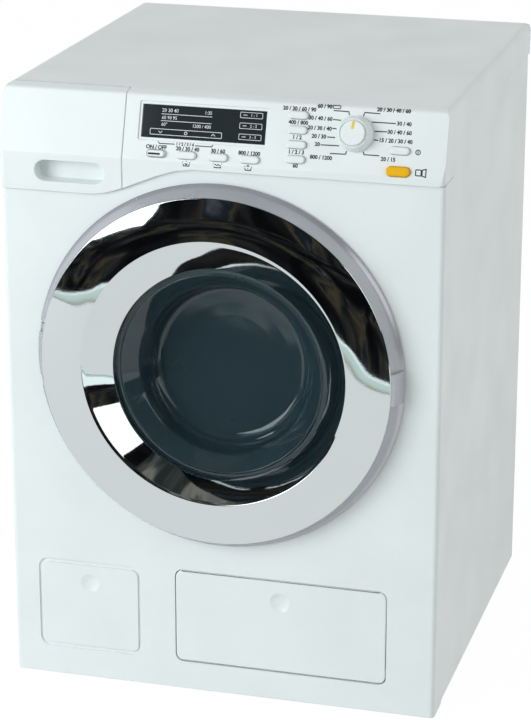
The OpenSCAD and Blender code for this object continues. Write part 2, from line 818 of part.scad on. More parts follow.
module tub() {
    color("#c9d2d4") difference() {
        union() {
            turned(door_z, [[porthole_r - 2, tub_y], [tub_r, tub_y], [tub_r, tub_end], [0, tub_end],
                            [0, tub_end - tub_t], [tub_r - tub_t, tub_end - tub_t],
                            [tub_r - tub_t, tub_y + tub_t], [porthole_r - 2, tub_y + tub_t]]);
            rod(0, door_z, bush_r + 2.5, y_front + tub_end - tub_t, y_front + tub_end + 2.5);
            for (a = [45 : 90 : 315]) bracket_leg(a);
            translate([drain_x, drain_y, door_z - tub_top(drain_x) - 7])
                cylinder(r = hose_bore - 0.2, h = 9);
        }
        rod(0, door_z, bush_r + 0.05, y_front + tub_end - tub_t - 1, y_front + tub_end + 4);
        rod(0, idler_z, idler_pin_r + 0.02, y_front + tub_end - 1.5, y_front + tub_end + 4);
        translate([spout_x, spout_y, door_z + tub_top(spout_x) - 12]) cylinder(r = spout_r + 1, h = 30);
        translate([drain_x, drain_y, door_z - tub_top(drain_x) - 8]) cylinder(r = 2, h = 16);
    }
}

// Leg on the tub's back that holds the gear bracket
module bracket_leg(a) {
    rod(leg_r * cos(a), door_z + leg_r * sin(a), 3.5, y_front + tub_end - 1, y_front + bracket_y);
}

module door_gasket() {
    color("#b9bfc1") turned(door_z, [[neck_r + 0.1, 4], [neck_r + 2, 4], [neck_r + 2, tub_y],
        [porthole_r - 3, tub_y], [porthole_r - 3, 11], [porthole_r - 5.5, 9.6], [porthole_r - 5.5, 7.8],
        [porthole_r - 3.6, 7], [porthole_r - 2.4, 8.8], [porthole_r - 1.5, 11], [neck_r + 0.1, 11]]);
}

module drum_bearing() {
    color("#d9c27a") difference() {
        rod(0, door_z, bush_r, y_front + tub_end - tub_t, y_front + tub_end + 2.5);
        rod(0, door_z, shaft_r + run_fit, y_front + tub_end - 9, y_front + tub_end + 9);
    }
}

module drum() {
    row_gap = (drum_end - drum_y - 28) / max(1, hole_rows - 1);
    color("silver") difference() {
        turned(door_z, [[mouth_r, drum_y], [drum_r - 2, drum_y], [drum_r, drum_y + 2],
                        [drum_r, drum_end - 2], [drum_r - drum_t, drum_end - 2],
                        [drum_r - drum_t, drum_y + 3], [drum_r - 3, drum_y + drum_t],
                        [mouth_r, drum_y + drum_t]]);
        for (row = [0 : hole_rows - 1], i = [0 : hole_count - 1])
            translate([0, y_front + drum_y + 14 + row * row_gap, door_z])
                rotate([0, (i + 0.5 * (row % 2)) * 360 / hole_count, 0]) translate([drum_r - 5, 0, 0])
                    rotate([0, 90, 0]) cylinder(r = hole_r, h = 8);
    }
}

module drum_back() {
    color("silver") difference() {
        union() {
            rod(0, door_z, drum_r - drum_t - 0.1, y_front + drum_end - 4, y_front + drum_end - 2);
            rod(0, door_z, drum_r, y_front + drum_end - 2, y_front + drum_end);
            rod(0, door_z, shaft_r + 5, y_front + drum_end - 12, y_front + drum_end - 2);
            for (a = [30 : 60 : 330]) translate([0, y_front + drum_end - 7, door_z]) rotate([0, a, 0])
                translate([shaft_r + 3, 0, -1.2]) cube([drum_r - shaft_r - 12, 4, 2.4]);
        }
        rod(0, door_z, shaft_r + 0.02, y_front + drum_end - 11, y_front + drum_end + 2);
    }
}

module drum_lifters() {
    lift_l = drum_end - drum_y - 24;
    color("silver") for (i = [0 : lifter_count - 1])
        translate([0, y_front + drum_y + 12 + lift_l, door_z]) rotate([0, 30 + i * 360 / lifter_count, 0])
            rotate([90, 0, 0]) linear_extrude(lift_l) intersection() {
                polygon(rounded([[drum_r, -9], [drum_r, 9], [drum_r - lifter_h - drum_t, 2.5],
                    [drum_r - lifter_h - drum_t, -2.5]], [0, 0, 2, 2]));
                circle(r = drum_r - drum_t - 0.1);
            }
}

module drum_shaft() {
    color("silver") difference() {
        rod(0, door_z, shaft_r, y_front + drum_end - 10.8, y_front + bracket_y + bracket_t);
        rod(0, door_z, 0.8, y_front + bracket_y - 4, y_front + bracket_y + bracket_t + 1);
    }
}

// Radius points and half angle of an involute tooth
function inv(a) = tan(a) * 180 / PI - a;
function half_angle(n, r) = let (rb = gear_m * n / 2 * cos(20))
    90 / n - backlash / 2 / (gear_m * n / 2) * 180 / PI + inv(20) - (r > rb ? inv(acos(rb / r)) : 0);

// Outline of a spur gear with n teeth, one of them centred at angle a0
function gear_outline(n, a0) = let (rp = gear_m * n / 2, rb = rp * cos(20), rr = rp - 1.2 * gear_m,
    rs = [rr, max(rb, rr + 0.1 * gear_m), rp - 0.2 * gear_m, rp + 0.35 * gear_m, rp + 0.85 * gear_m])
    [for (i = [0 : n - 1]) let (a = a0 + 360 * i / n) each concat(
        [for (r = rs) let (h = half_angle(n, r)) r * [cos(a - h), sin(a - h)]],
        [for (j = [4 : -1 : 0]) let (h = half_angle(n, rs[j])) rs[j] * [cos(a + h), sin(a + h)]])];

// A gear on a line along Y at height z
module gear(z, y, w, n, a0, bore) {
    difference() {
        translate([0, 0, z]) slab(y_front + y, y_front + y + w) polygon(gear_outline(n, a0));
        rod(0, z, bore, y_front + y - 1, y_front + y + w + 1);
    }
}

module drum_gear() {
    web_r = gear_m * drum_teeth / 2 - 4;
    color("ivory") {
        difference() {
            gear(door_z, plane_a, gear_w, drum_teeth, 90, shaft_r + 0.02);
            for (a = [30 : 60 : 330])
                rod((web_r + shaft_r + 3) / 2 * cos(a), door_z + (web_r + shaft_r + 3) / 2 * sin(a),
                    (web_r - shaft_r) / 4, y_front + plane_a - 1, y_front + plane_a + gear_w + 1);
        }
        difference() {
            rod(0, door_z, shaft_r + 3, y_front + plane_a + gear_w - 0.1, y_front + bracket_y - 0.5);
            rod(0, door_z, shaft_r + 0.02, y_front + plane_a, y_front + bracket_y);
        }
    }
}

module idler_gear() {
    color("ivory") {
        gear(idler_z, plane_a - 0.5, gear_w + 2, idler_small, 90 + 180 / idler_small,
             idler_pin_r + run_fit);
        gear(idler_z, plane_b, gear_w, idler_large, 90, idler_pin_r + run_fit);
    }
}

module idler_pin() {
    color("silver") rod(0, idler_z, idler_pin_r, y_front + tub_end - 1.4, y_front + bracket_y + bracket_t);
}

module motor_pinion() {
    color("ivory") gear(motor_z, plane_b, gear_w, pinion_teeth, 90 + 180 / pinion_teeth,
                        motor_shaft_r + 0.02);
    color("silver") rod(0, motor_z, motor_shaft_r, y_front + plane_b - 0.5, y_front + bracket_y + 6);
}

module gear_bracket() {
    y0 = y_front + bracket_y;
    color("#d5dadb") difference() {
        union() {
            slab(y0, y0 + bracket_t) polygon(rounded([
                [-bracket_half, door_z - bracket_half], [bracket_half, door_z - bracket_half],
                [bracket_half, door_z + bracket_half], [motor_r + 5, motor_z + motor_r + 4],
                [-motor_r - 5, motor_z + motor_r + 4], [-bracket_half, door_z + bracket_half]],
                [6, 6, 8, 5, 5, 8]));
            rod(0, motor_z, motor_r + 2, y0, y0 + bracket_t + 6);
        }
        rod(0, door_z, shaft_r + run_fit, y0 - 1, y0 + bracket_t + 1);
        rod(0, idler_z, idler_pin_r + 0.02, y0 - 1, y0 + bracket_t + 1);
        rod(0, motor_z, motor_r + 0.1, y0 + bracket_t, y0 + bracket_t + 9);
        rod(0, motor_z, 3.2, y0 - 1, y0 + bracket_t + 1);
    }
}

module motor() {
    y0 = y_front + bracket_y + bracket_t + 0.1;
    color("silver") difference() {
        union() {
            rod(0, motor_z, motor_r, y0, y0 + motor_l);
            rod(0, motor_z, 3, y0 - 1.5, y0 + 1);
            rod(0, motor_z, 3, y0 + motor_l - 1, y0 + motor_l + 2);
        }
        rod(0, motor_z, motor_shaft_r + run_fit, y0 - 3, y0 + 8);
    }
}

// ---- Batteries ----

module battery_box() {
    color("#e3e6e4") difference() {
        translate([-battery_w / 2, battery_y, battery_z]) cube([battery_w, battery_d, battery_h]);
        translate([-battery_w / 2 + box_t, battery_y + box_t, battery_z + box_t])
            cube([battery_w - 2 * box_t, battery_d, battery_h - 2 * box_t]);
    }
    color("#e3e6e4") translate([-battery_w / 2 + 6, battery_y + 4, wall + seat])
        cube([battery_w - 12, battery_d - 8, battery_z - wall - seat + 0.1]);
}

module batteries() {
    color("#3c5a46") for (s = [-1, 1], z = cell_zs) translate([s > 0 ? 0.4 : -cell_l - 0.4, cell_y, z])
        rotate([0, 90, 0]) {
            cylinder(r = cell_r, h = cell_l - 2);
            cylinder(r = 3, h = cell_l);
        }
}

module battery_contacts() {
    color("silver") for (s = [-1, 1]) {
        for (z = cell_zs) translate([s * (cell_l + 2.6) - 1, cell_y, z])
            rotate([0, 90, 0]) cylinder(r = 5, h = 2);
        translate([s * (battery_w / 2 - box_t - 0.3) - 0.3, cell_y - 6, cell_zs[0] - 6])
            cube([0.6, 12, cell_zs[1] - cell_zs[0] + 12]);
    }
}

module battery_cover() {
    color("white") difference() {
        union() {
            slab(shell_back - wall, shell_back) polygon(box_outline(
                [-battery_w / 2 + box_t + seam, battery_z + box_t + seam],
                [battery_w / 2 - box_t - seam, battery_z + battery_h - box_t - seam], 3 - seam));
            for (s = [-1, 1]) slab(shell_back - wall - 0.3, shell_back - wall + 0.1)
                translate([s * 30, battery_z + box_t + 3.5]) square([8, 5], center = true);
        }
        rod(0, battery_z + battery_h - box_t - 6, 1.7, shell_back - wall - 1, shell_back + 1);
        rod(0, battery_z + battery_h - box_t - 6, 3, shell_back - 1.4, shell_back + 1);
        for (i = [0 : 2]) slab(shell_back - 0.6, shell_back + 1)
            translate([0, battery_z + 14 + 3 * i]) pill(22, 1.4);
    }
}

module battery_cover_screw() {
    color("silver") {
        rod(0, battery_z + battery_h - box_t - 6, 2.7, shell_back - 1.4, shell_back - 0.2);
        rod(0, battery_z + battery_h - box_t - 6, 1.4, shell_back - wall - 1, shell_back - 1);
    }
}

// ---- Door ----

// Section of the door frame: flared outer wall, shoulder and flat back plate
module door_frame() {
    color("#b8bcc0") difference() {
        union() {
            turned(door_z, concat([[ridge_r - 1.3, -door_back], [door_r - 1, -door_back]],
                flare_points(), [[chrome_r - 2.2, -chrome_h + 0.2], [chrome_r - 2.2, -4],
                [ridge_r - 1.3, -3.2]]));
            grip_block();
        }
        translate([-hinge_x, y_front - hinge_h, door_z - hinge_half])
            cylinder(r = hinge_pin_r + 0.02, h = 2 * hinge_half);
        for (s = [-1, 1]) lug_pocket(door_z + s * lug_z);
    }
}

// The flared wall from the panel up to the shoulder beside the chrome
function flare_points() = [for (i = [0 : 8]) let (t = i / 8)
    [door_r - (door_r - chrome_r) * pow(t, 0.62), -door_back - 0.6 - (chrome_h - door_back - 0.8) * t]];

// Block on the right of the rim that the fingers pull
module grip_block() {
    intersection() {
        turned(door_z, [[chrome_r - 4, -door_back], [door_r - 1, -door_back], [door_r, -door_back - 0.6],
                        [door_r, -2.5], [chrome_r + 1.6, -chrome_h + 0.2],
                        [chrome_r - 1, -chrome_h + 0.2], [chrome_r - 4, -2]]);
        translate([chrome_r - 12, band_y - 20, door_z - grip_block_h / 2]) cube([30, 40, grip_block_h]);
    }
}

// Room in the frame for a lug while the door swings
module lug_pocket(z) {
    w = lug_w + 0.8;
    translate([-hinge_x, y_front - hinge_h, z - w / 2]) {
        cylinder(r = 2.1, h = w);
        translate([-1.5, 0, 0]) cube([3, 6, w]);
        translate([-7, -1.2, 0]) cube([7, 8, w]);
    }
}

module hinge_pin() {
    color("silver") translate([-hinge_x, y_front - hinge_h, door_z - hinge_half + 0.1])
        cylinder(r = hinge_pin_r, h = 2 * hinge_half - 0.2);
}

// Outer slope as a turned ring, inner funnel between two circles that aren't concentric
module chrome_ring() {
    color("#d8dde0") {
        difference() {
            turned(door_z, [[ridge_r - 3.5, -ridge_h], [ridge_r + 0.4, -ridge_h], [chrome_r, -chrome_h],
                [chrome_r, -chrome_h + 0.1], [chrome_r - 2.4, -chrome_h + 0.1],
                [chrome_r - 2.4, -chrome_h + chrome_t],
                [ridge_r + 3, -ridge_h + chrome_t], [ridge_r - 3.5, -ridge_h + chrome_t]]);
            funnel(0);
        }
        difference() {
            funnel(chrome_t);
            funnel(0);
        }
    }
}

// Solid between the ridge circle and the window circle, grown by t
module funnel(t) {
    e = t > 0 ? 0 : 0.6;
    hull() {
        rod(0, door_z, ridge_r + t + e, y_front - ridge_h + (t > 0 ? 0.8 : -e),
            y_front - ridge_h + 0.9 - e);
        rod(0, window_z, window_r + t, y_front - chrome_foot - 0.1, y_front + flange_y - 0.1 + e);
    }
}

// Stepped bowl of the window, [radius, distance behind the panel]
function bowl_face(t) = [[window_r - 0.2 - t, flange_y + t], [window_r - 1.4 - t, 4 + t],
    [window_r - 4 - t, 11 + t * 0.6], [window_r - 7 - t, 12.2 + t * 0.8],
    [window_r - 9.6 - t, bowl_depth - 4],
    [window_r - 11 - t, bowl_depth - 1.4], [window_r - 13.6 - t, bowl_depth - t * 0.4]];

module window_bowl() {
    n = 6;
    color("#5a6a74", 0.6) turned(window_z, concat(
        [[bowl_flange_r, flange_y], [window_r - 0.2 - bowl_t, flange_y]],
        [for (i = [1 : n]) bowl_face(bowl_t)[i] - [0, bowl_t]], [[0, bowl_depth - bowl_t - 1]],
        [[0, bowl_depth + 0.3]], [for (i = [n : -1 : 1]) bowl_face(0)[i]],
        [[window_r - 0.2, flange_y + bowl_t], [bowl_flange_r, flange_y + bowl_t]]));
}

module door_back_ring() {
    color("#b8bcc0") difference() {
        turned(door_z, [[back_ring_r, 0], [back_ring_r, 6], [window_r - 4, 6], [window_r - 4, -0.2],
                        [back_ring_r, -0.2]]);
        rod(0, window_z, window_r + 0.3, y_front - 2, y_front + 8);
        rod(0, window_z, bowl_flange_r + 0.3, y_front - 2, y_front + flange_y + bowl_t + 0.1);
        for (a = [30 : 60 : 330]) rod(screw_ring_r * cos(a), door_z + screw_ring_r * sin(a), 1.2,
                                      y_front - 1, y_front + 7);
        for (a = [30 : 60 : 330]) rod(screw_ring_r * cos(a), door_z + screw_ring_r * sin(a), 2.2,
                                      y_front + 4.4, y_front + 7);
    }
}
screw_ring_r = back_ring_r - 3.1;

module door_screws() {
    color("silver") for (a = [30 : 60 : 330]) {
        rod(screw_ring_r * cos(a), door_z + screw_ring_r * sin(a), 2, y_front + 4.4, y_front + 5.8);
        rod(screw_ring_r * cos(a), door_z + screw_ring_r * sin(a), 1, y_front, y_front + 4.4);
    }
}

module latch_hook() {
    color("#b8bcc0") across(hook_x - hook_w / 2, hook_x + hook_w / 2)
        polygon([[y_front - door_back, door_z - 1.5], [y_front - door_back, door_z + 2],
                 [y_front + 8, door_z + 2], [y_front + 9, door_z + 1], [y_front + 9, door_z - 2.2],
                 [y_front + 7, door_z - 3.4], [y_front + 5.4, door_z - 3.4],
                 [y_front + 5.4, door_z - 1.5]]);
}

// Upright bar between the door button and the hook, with a sloping head
module latch_slider() {
    tip_y = y_front + 5.9;
    tip_z = door_key_z - 4.35;
    color("#e3e6e4") {
        translate([bar_x, slider_y, slider_lo]) cube([bar_w, slider_t, tip_z - 4 - slider_lo]);
        translate([hook_x - slider_w / 2, slider_y, slider_lo])
            cube([slider_w / 2 + bar_x - hook_x + bar_w, slider_t, door_z - 3.8 - slider_lo]);
        translate([hook_x - 2.5, slider_y, slider_lo]) cube([5, 2 * spring_r + 0.6, 2]);
        across(min(hook_x, right_x) - 2.5, max(bar_x + bar_w, right_x + 2.5))
            polygon([[slider_y, tip_z - 9], [tip_y + 1.7, tip_z - 5], [tip_y + 1.7, tip_z + 1.2],
                [slider_y, tip_z - 2.4]]);
    }
}

module latch_spring() {
    color("silver") translate([hook_x, slider_y + spring_r, slider_lo - spring_h + 0.1]) difference() {
        cylinder(r = spring_r, h = spring_h - 0.2);
        translate([0, 0, -1]) cylinder(r = spring_r - 0.7, h = spring_h + 2);
    }
}

// ---- Flap, recess and drain ----

module service_flap() {
    color("white") difference() {
        union() {
            intersection() {
                slab(y_front, y_front + wall) polygon(box_outline([flap_lo, flap_z],
                    [flap_hi, flap_z + flap_h], flap_r));
                across(flap_lo - 1, flap_hi + 1) polygon(rounded([[y_front, flap_z],
                    [y_front + wall, flap_z], [y_front + wall, flap_z + flap_h],
                    [y_front, flap_z + flap_h]], [0.8, 0, 0.6, 0.3]));
            }
            for (s = [-1, 1]) flap_pivot(s, flap_pin_r, 2.6);
        }
        dimple(flap_x, flap_z + flap_h - dimple_drop, y_front);
    }
}

// Pin or bore of the flap's hinge at side s, of radius r, reaching l past the flap
module flap_pivot(s, r, l) {
    translate([flap_x + s * (flap_w / 2 - 2 + (l + 2) / 2), flap_axis_y, flap_axis_z])
        rotate([0, 90, 0]) cylinder(r = r, h = l + 2, center = true);
}

// Boss behind the panel that takes the flap's hinge pin, grown by g
module flap_boss(s, g) {
    translate([flap_x + s * (flap_w / 2 + seam + 1.6) - 1.6 - g, y_front + wall - 0.1 - g,
               flap_axis_z - 2.7 - g]) cube([3.2 + 2 * g, 2.2 + 2 * g, 5.4 + 2 * g]);
}

module flap_box() {
    lo = [flap_lo - seam, y_front + wall + 0.1, flap_z - seam];
    hi = [flap_hi + seam, y_front + wall + recess_d, flap_z + flap_h + seam];
    color("#dfe6e8") difference() {
        union() {
            translate(lo - [2, 0, 2]) cube(hi - lo + [4, 2, 4]);
            rod(drain_x, drain_z, nozzle_r + 1.5, hi.y - 5, hi.y + 1);
            rod(drain_x, drain_z, hose_bore - 0.2, hi.y + 1, hi.y + 8);
        }
        translate(lo - [0, 1, 0]) cube(hi - lo + [0, 1, 0] - [0, 0.01, 0]);
        for (s = [-1, 1]) flap_boss(s, seat);
        rod(drain_x, drain_z, nozzle_r, hi.y - 6, hi.y + 3);
        rod(drain_x, drain_z, 2, hi.y, hi.y + 9);
    }
    color("#dfe6e8") difference() {
        rod(drain_x, drain_z, nozzle_r + 1.5, hi.y - 5, hi.y + 1);
        rod(drain_x, drain_z, nozzle_r, hi.y - 6, hi.y + 3);
    }
}

module drain_plug() {
    y0 = y_front + wall + recess_d - 5;
    color("#3a4046") {
        rod(drain_x, drain_z, nozzle_r - 0.06, y0 - 0.1, y0 + 4);
        rod(drain_x, drain_z, nozzle_r + 3, y0 - 2.2, y0 - 0.1);
        translate([drain_x - 1, y0 - 8, drain_z - 5]) cube([2, 6, 10]);
    }
}

module drain_hose() {
    back = y_front + wall + recess_d + 2;
    bend = 10;
    top = door_z - tub_top(drain_x) - 1;
    color("#8f979b") {
        difference() {
            rod(drain_x, drain_z, hose_r, back, drain_y - bend);
            rod(drain_x, drain_z, hose_bore, back - 1, drain_y - bend + 1);
        }
        translate([drain_x, drain_y - bend, drain_z + bend]) rotate([90, 0, 90])
            rotate([0, 0, -90]) rotate_extrude(angle = 90) translate([bend, 0]) difference() {
                circle(r = hose_r);
                circle(r = hose_bore);
            }
        translate([drain_x, drain_y, drain_z + bend]) difference() {
            cylinder(r = hose_r, h = top - drain_z - bend);
            translate([0, 0, -1]) cylinder(r = hose_bore, h = top);
        }
    }
}

top_cover();
housing_shell();
front_panel();
base_plate();
display_window();
circuit_board();
key_mat();
selector_switch();
speaker();
drawer_housing();
tub();
door_gasket();
drum_bearing();
gear_bracket();
idler_pin();
motor();
battery_box();
battery_contacts();
batteries();
battery_cover();
battery_cover_screw();
housing_screws();
flap_box();
drain_hose();
latch_spring();
hinge_pin();
door_frame();
chrome_ring();
window_bowl();
door_back_ring();
latch_hook();
door_screws();
drum();
drum_back();
drum_lifters();
drum_shaft();
drum_gear();
idler_gear();
motor_pinion();
drawer_front();
drawer_tray();
programme_knob();
latch_slider();
service_flap();
drain_plug();
row_button(0);  // start_button
row_button(1);  // row_button_2
row_button(2);  // row_button_3
row_button(3);  // row_button_4
option_button(0);  // option_button_1
option_button(1);  // option_button_2
option_button(2);  // option_button_3
option_button(3);  // option_button_4
power_button();
door_button();
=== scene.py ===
"""Looks of a toy front-loading washing machine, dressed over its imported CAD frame.

Blender works in metres. Sizes are written in millimetres and turned into metres by MM.
+X is the machine's right seen from the front, +Y runs to its back and +Z is up.
"""

import math

import bmesh
import bpy
from mathutils import Matrix, Vector


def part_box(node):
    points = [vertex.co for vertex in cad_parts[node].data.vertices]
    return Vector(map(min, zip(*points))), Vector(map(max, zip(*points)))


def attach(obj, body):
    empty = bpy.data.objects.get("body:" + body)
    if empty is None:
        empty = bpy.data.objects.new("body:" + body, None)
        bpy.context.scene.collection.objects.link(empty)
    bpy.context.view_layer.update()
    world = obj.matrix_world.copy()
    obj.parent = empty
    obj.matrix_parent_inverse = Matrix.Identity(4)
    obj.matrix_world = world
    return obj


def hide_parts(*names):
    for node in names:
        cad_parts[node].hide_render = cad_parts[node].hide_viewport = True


MM = 0.001
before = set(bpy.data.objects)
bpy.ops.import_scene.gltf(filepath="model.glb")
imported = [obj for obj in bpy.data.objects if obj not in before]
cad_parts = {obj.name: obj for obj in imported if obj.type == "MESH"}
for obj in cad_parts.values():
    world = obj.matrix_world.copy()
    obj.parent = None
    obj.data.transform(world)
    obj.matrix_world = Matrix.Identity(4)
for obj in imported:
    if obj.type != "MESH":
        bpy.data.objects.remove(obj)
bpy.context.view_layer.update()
scene = bpy.context.scene
scene.view_settings.view_transform = "Standard"


# ---- Sizes, in millimetres, that repeat the CAD source ----

def corners(node):
    """Lowest and highest corner of a CAD node, in millimetres."""
    lo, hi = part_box(node)
    return lo / MM, hi / MM


TOP = corners("top_cover")[1].z
FRONT_Y = corners("service_flap")[0].y
RING_LO, RING_HI = corners("chrome_ring")
DOOR_Z = (RING_LO.z + RING_HI.z) / 2
CHROME_R = (RING_HI.x - RING_LO.x) / 2

# Low rim of the panel round the door: where it starts and ends beyond the chrome, and its most height
DOOR_RIM = (2, 14)
DOOR_RIM_H = 1

# Control band: an upright strip, a crease and a facet that leans back
BAND_PROUD = 1.8
CREASE_DROP = 26.5
CREASE_R = 2.5
LEAN = math.radians(17.7)
BAND_Y = FRONT_Y - BAND_PROUD
CREASE_Z = TOP - CREASE_DROP

# Door: chrome ring with a sloping face and a funnel, and the bowl of the window. Depths run back
# from the panel's face.
SLOPE_W = 18.1
FUNNEL_W = 10.8
RIDGE_H = 10.6
CHROME_H = 8.6
CHROME_T = 1.6
WINDOW_DROP = 3.5
FUNNEL_FOOT = -0.4
FLANGE_Y = 2
BOWL_DEPTH = 24
BOWL_T = 1.5
BOWL_DISH = 1.1
BOTTOM_LEAN = math.radians(4.6)
RIDGE_R = CHROME_R - SLOPE_W
WINDOW_R = RIDGE_R - FUNNEL_W
WINDOW_Z = DOOR_Z - WINDOW_DROP
BOTTOM_R = WINDOW_R - 13.6
# Wall of the bowl: how far inside the window's edge, and how deep
BOWL_WALL = [(0.2, FLANGE_Y), (1, FLANGE_Y + 0.8), (7.4, 8.6), (8.2, 12), (9.6, BOWL_DEPTH - 5)]
BOWL_BOTTOM_STEPS = 6
# The bottom's lean starts at this depth and is full after that many millimetres more
LEAN_FROM, LEAN_OVER = 12, 8

# Skins: distance at which points merge, and the angles in degrees below which faces merge, above
# which an edge is sharp and above which it gets a bevel
MERGE = 0.002
FLAT_ANGLE = 0.4
SHARP_ANGLE = 30
BEVEL_ANGLE = 35
LOFT_SHARP_ANGLE = 40


# ---- Materials ----

def srgb(r, g, b):
    """Linear colour of a screen colour that is given in 0 to 255."""
    def linear(c):
        c /= 255
        return c / 12.92 if c <= 0.04045 else ((c + 0.055) / 1.055) ** 2.4
    return linear(r), linear(g), linear(b), 1


def shaded(colour, k):
    """The colour with its light scaled by k."""
    return tuple(min(c * k, 1) for c in colour[:3]) + (1,)


class Finish:
    """A node material that is put together from a few named steps."""

    def __init__(self, name, **sockets):
        self.material = bpy.data.materials.new(name)
        self.material.use_nodes = True
        self.tree = self.material.node_tree
        self.shader = self.tree.nodes["Principled BSDF"]
        self.where = self.node("ShaderNodeTexCoord").outputs["Object"]
        for socket, value in sockets.items():
            self.shader.inputs[socket.replace("_", " ")].default_value = value

    def node(self, kind, **values):
        """New node with those properties."""
        n = self.tree.nodes.new(kind)
        for key, value in values.items():
            setattr(n, key, value)
        return n

    def link(self, a, b):
        self.tree.links.new(a, b)

    def noise(self, scale, detail=2.0):
        """Noise with that many features in a metre."""
        n = self.node("ShaderNodeTexNoise")
        n.inputs["Scale"].default_value = scale
        n.inputs["Detail"].default_value = detail
        self.link(self.where, n.inputs["Vector"])
        return n.outputs["Fac"]

    def ranged(self, value, low, high, from_low=0.3, from_high=0.7):
        """Low to high, as the value goes between two marks. The usual marks suit noise."""
        n = self.node("ShaderNodeMapRange")
        self.link(value, n.inputs["Value"])
        for socket, number in zip(("From Min", "From Max", "To Min", "To Max"),
                                  (from_low, from_high, low, high)):
            n.inputs[socket].default_value = number
        return n.outputs["Result"]

    def mottle(self, colour, depth, scale):
        """Colour that drifts lighter and darker by depth over the surface."""
        mix = self.node("ShaderNodeMix", data_type="RGBA")
        self.link(self.ranged(self.noise(scale, 3), 0, 1), mix.inputs["Factor"])
        mix.inputs["A"].default_value = shaded(colour, 1 - depth)
        mix.inputs["B"].default_value = shaded(colour, 1 + depth)
        self.link(mix.outputs["Result"], self.shader.inputs["Base Color"])
        return self

    def gloss(self, low, high, scale=40):
        """Roughness that drifts between two values."""
        self.link(self.ranged(self.noise(scale, 4), low, high), self.shader.inputs["Roughness"])
        return self

    def relief(self, *layers, rounding=0.0):
        """Bumps, each (scale, height in metres), over edges rounded by a radius in metres."""
        normal = None
        if rounding:
            bevel = self.node("ShaderNodeBevel", samples=4)
            bevel.inputs["Radius"].default_value = rounding
            normal = bevel.outputs["Normal"]
        for scale, height in layers:
            bump = self.node("ShaderNodeBump")
            bump.inputs["Distance"].default_value = height
            self.link(self.noise(scale), bump.inputs["Height"])
            if normal:
                self.link(normal, bump.inputs["Normal"])
            normal = bump.outputs["Normal"]
        self.link(normal, self.shader.inputs["Normal"])
        return self


def plastic(name, colour, low=0.3, high=0.42, grain=0.00002, **sockets):
    """Moulded plastic: faint drift of the colour, uneven gloss and a fine grain."""
    finish = Finish(name, **sockets).mottle(colour, 0.02, 30).gloss(low, high)
    return finish.relief((18, 0.0002), (2200, grain), rounding=0.3 * MM).material


def metal(name, colour):
    """Bare metal with a fine grain."""
    finish = Finish(name, Metallic=1.0).mottle(colour, 0.05, 60).gloss(0.2, 0.35, 120)
    return finish.relief((900, 0.00002), rounding=0.15 * MM).material


def chromed(name):
    """Metallised plastic: a near mirror with the slow waves of the moulding below it."""
    finish = Finish(name, Metallic=1.0).mottle(srgb(202, 209, 210), 0.01, 20).gloss(0.02, 0.05, 60)
    return finish.relief((22, 0.00035), (1500, 0.000002)).material


def smoked(name):
    """Clear plastic with a dark blue tint."""
    finish = Finish(name, IOR=1.49, Transmission_Weight=0.89, Specular_IOR_Level=0.43)
    finish.mottle(srgb(108, 140, 152), 0.03, 25).gloss(0.03, 0.08, 50)
    return finish.relief((30, 0.0003)).material


def ink(name, colour):
    """Pad print, a little uneven in tone."""
    finish = Finish(name).mottle(colour, 0.06, 400).gloss(0.45, 0.6, 300)
    return finish.relief((3000, 0.000004)).material


def board(name):
    """Circuit board with copper tracks under a green lacquer."""
    finish = Finish(name, Coat_Weight=0.4)
    tracks = finish.node("ShaderNodeTexVoronoi", distance="MANHATTAN", feature="DISTANCE_TO_EDGE")
    tracks.inputs["Scale"].default_value = 260
    finish.link(finish.where, tracks.inputs["Vector"])
    mix = finish.node("ShaderNodeMix", data_type="RGBA")
    finish.link(finish.ranged(tracks.outputs["Distance"], 1, 0, 0.06, 0.1), mix.inputs["Factor"])
    mix.inputs["A"].default_value = srgb(26, 92, 52)
    mix.inputs["B"].default_value = srgb(70, 140, 74)
    finish.link(mix.outputs["Result"], finish.shader.inputs["Base Color"])
    return finish.gloss(0.3, 0.4).relief((900, 0.00002)).material


MATERIALS = {
    "white_plastic": plastic("white_plastic", srgb(238, 243, 243)),
    "grey_plastic": plastic("grey_plastic", srgb(186, 186, 192), 0.2, 0.28, Metallic=0.45),
    "chrome": chromed("chrome"),
    "smoked_window": smoked("smoked_window"),
    "display": plastic("display", srgb(40, 47, 51), 0.07, 0.11, 0.000002),
    "yellow_plastic": plastic("yellow_plastic", srgb(246, 184, 0), 0.34, 0.42,
                              Specular_IOR_Level=0.25),
    "tub_plastic": plastic("tub_plastic", srgb(206, 212, 214), 0.4, 0.55),
    "drum_metal": plastic("drum_metal", srgb(150, 156, 162), 0.3, 0.45, Metallic=0.6),
    "gear_plastic": plastic("gear_plastic", srgb(222, 216, 196), 0.35, 0.5),
    "steel": metal("steel", srgb(176, 178, 180)),
    "rubber_grey": plastic("rubber_grey", srgb(96, 100, 104), 0.6, 0.8, 0.00006),
    "circuit_green": board("circuit_green"),
    "black_plastic": plastic("black_plastic", srgb(34, 35, 38), 0.4, 0.55),
    "bearing_brass": metal("bearing_brass", srgb(190, 156, 92)),
    "cell_wrap": plastic("cell_wrap", srgb(58, 84, 120), 0.25, 0.35),
}
BLACK_INK = ink("black_ink", srgb(34, 36, 40))
WHITE_INK = ink("white_ink", srgb(226, 232, 234))
YELLOW_INK = ink("yellow_ink", srgb(236, 206, 48))


# ---- Meshes ----

def add_piece(name, mesh, body, slot, material, *nodes):
    """Puts a finished mesh in the scene on a body, in place of the CAD nodes that it stands for."""
    piece = bpy.data.objects.new(name, mesh)
    scene.collection.objects.link(piece)
    mesh.materials.clear()
    mesh.materials.append(material)
    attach(piece, body)
    if nodes:
        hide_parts(*nodes)
    return piece


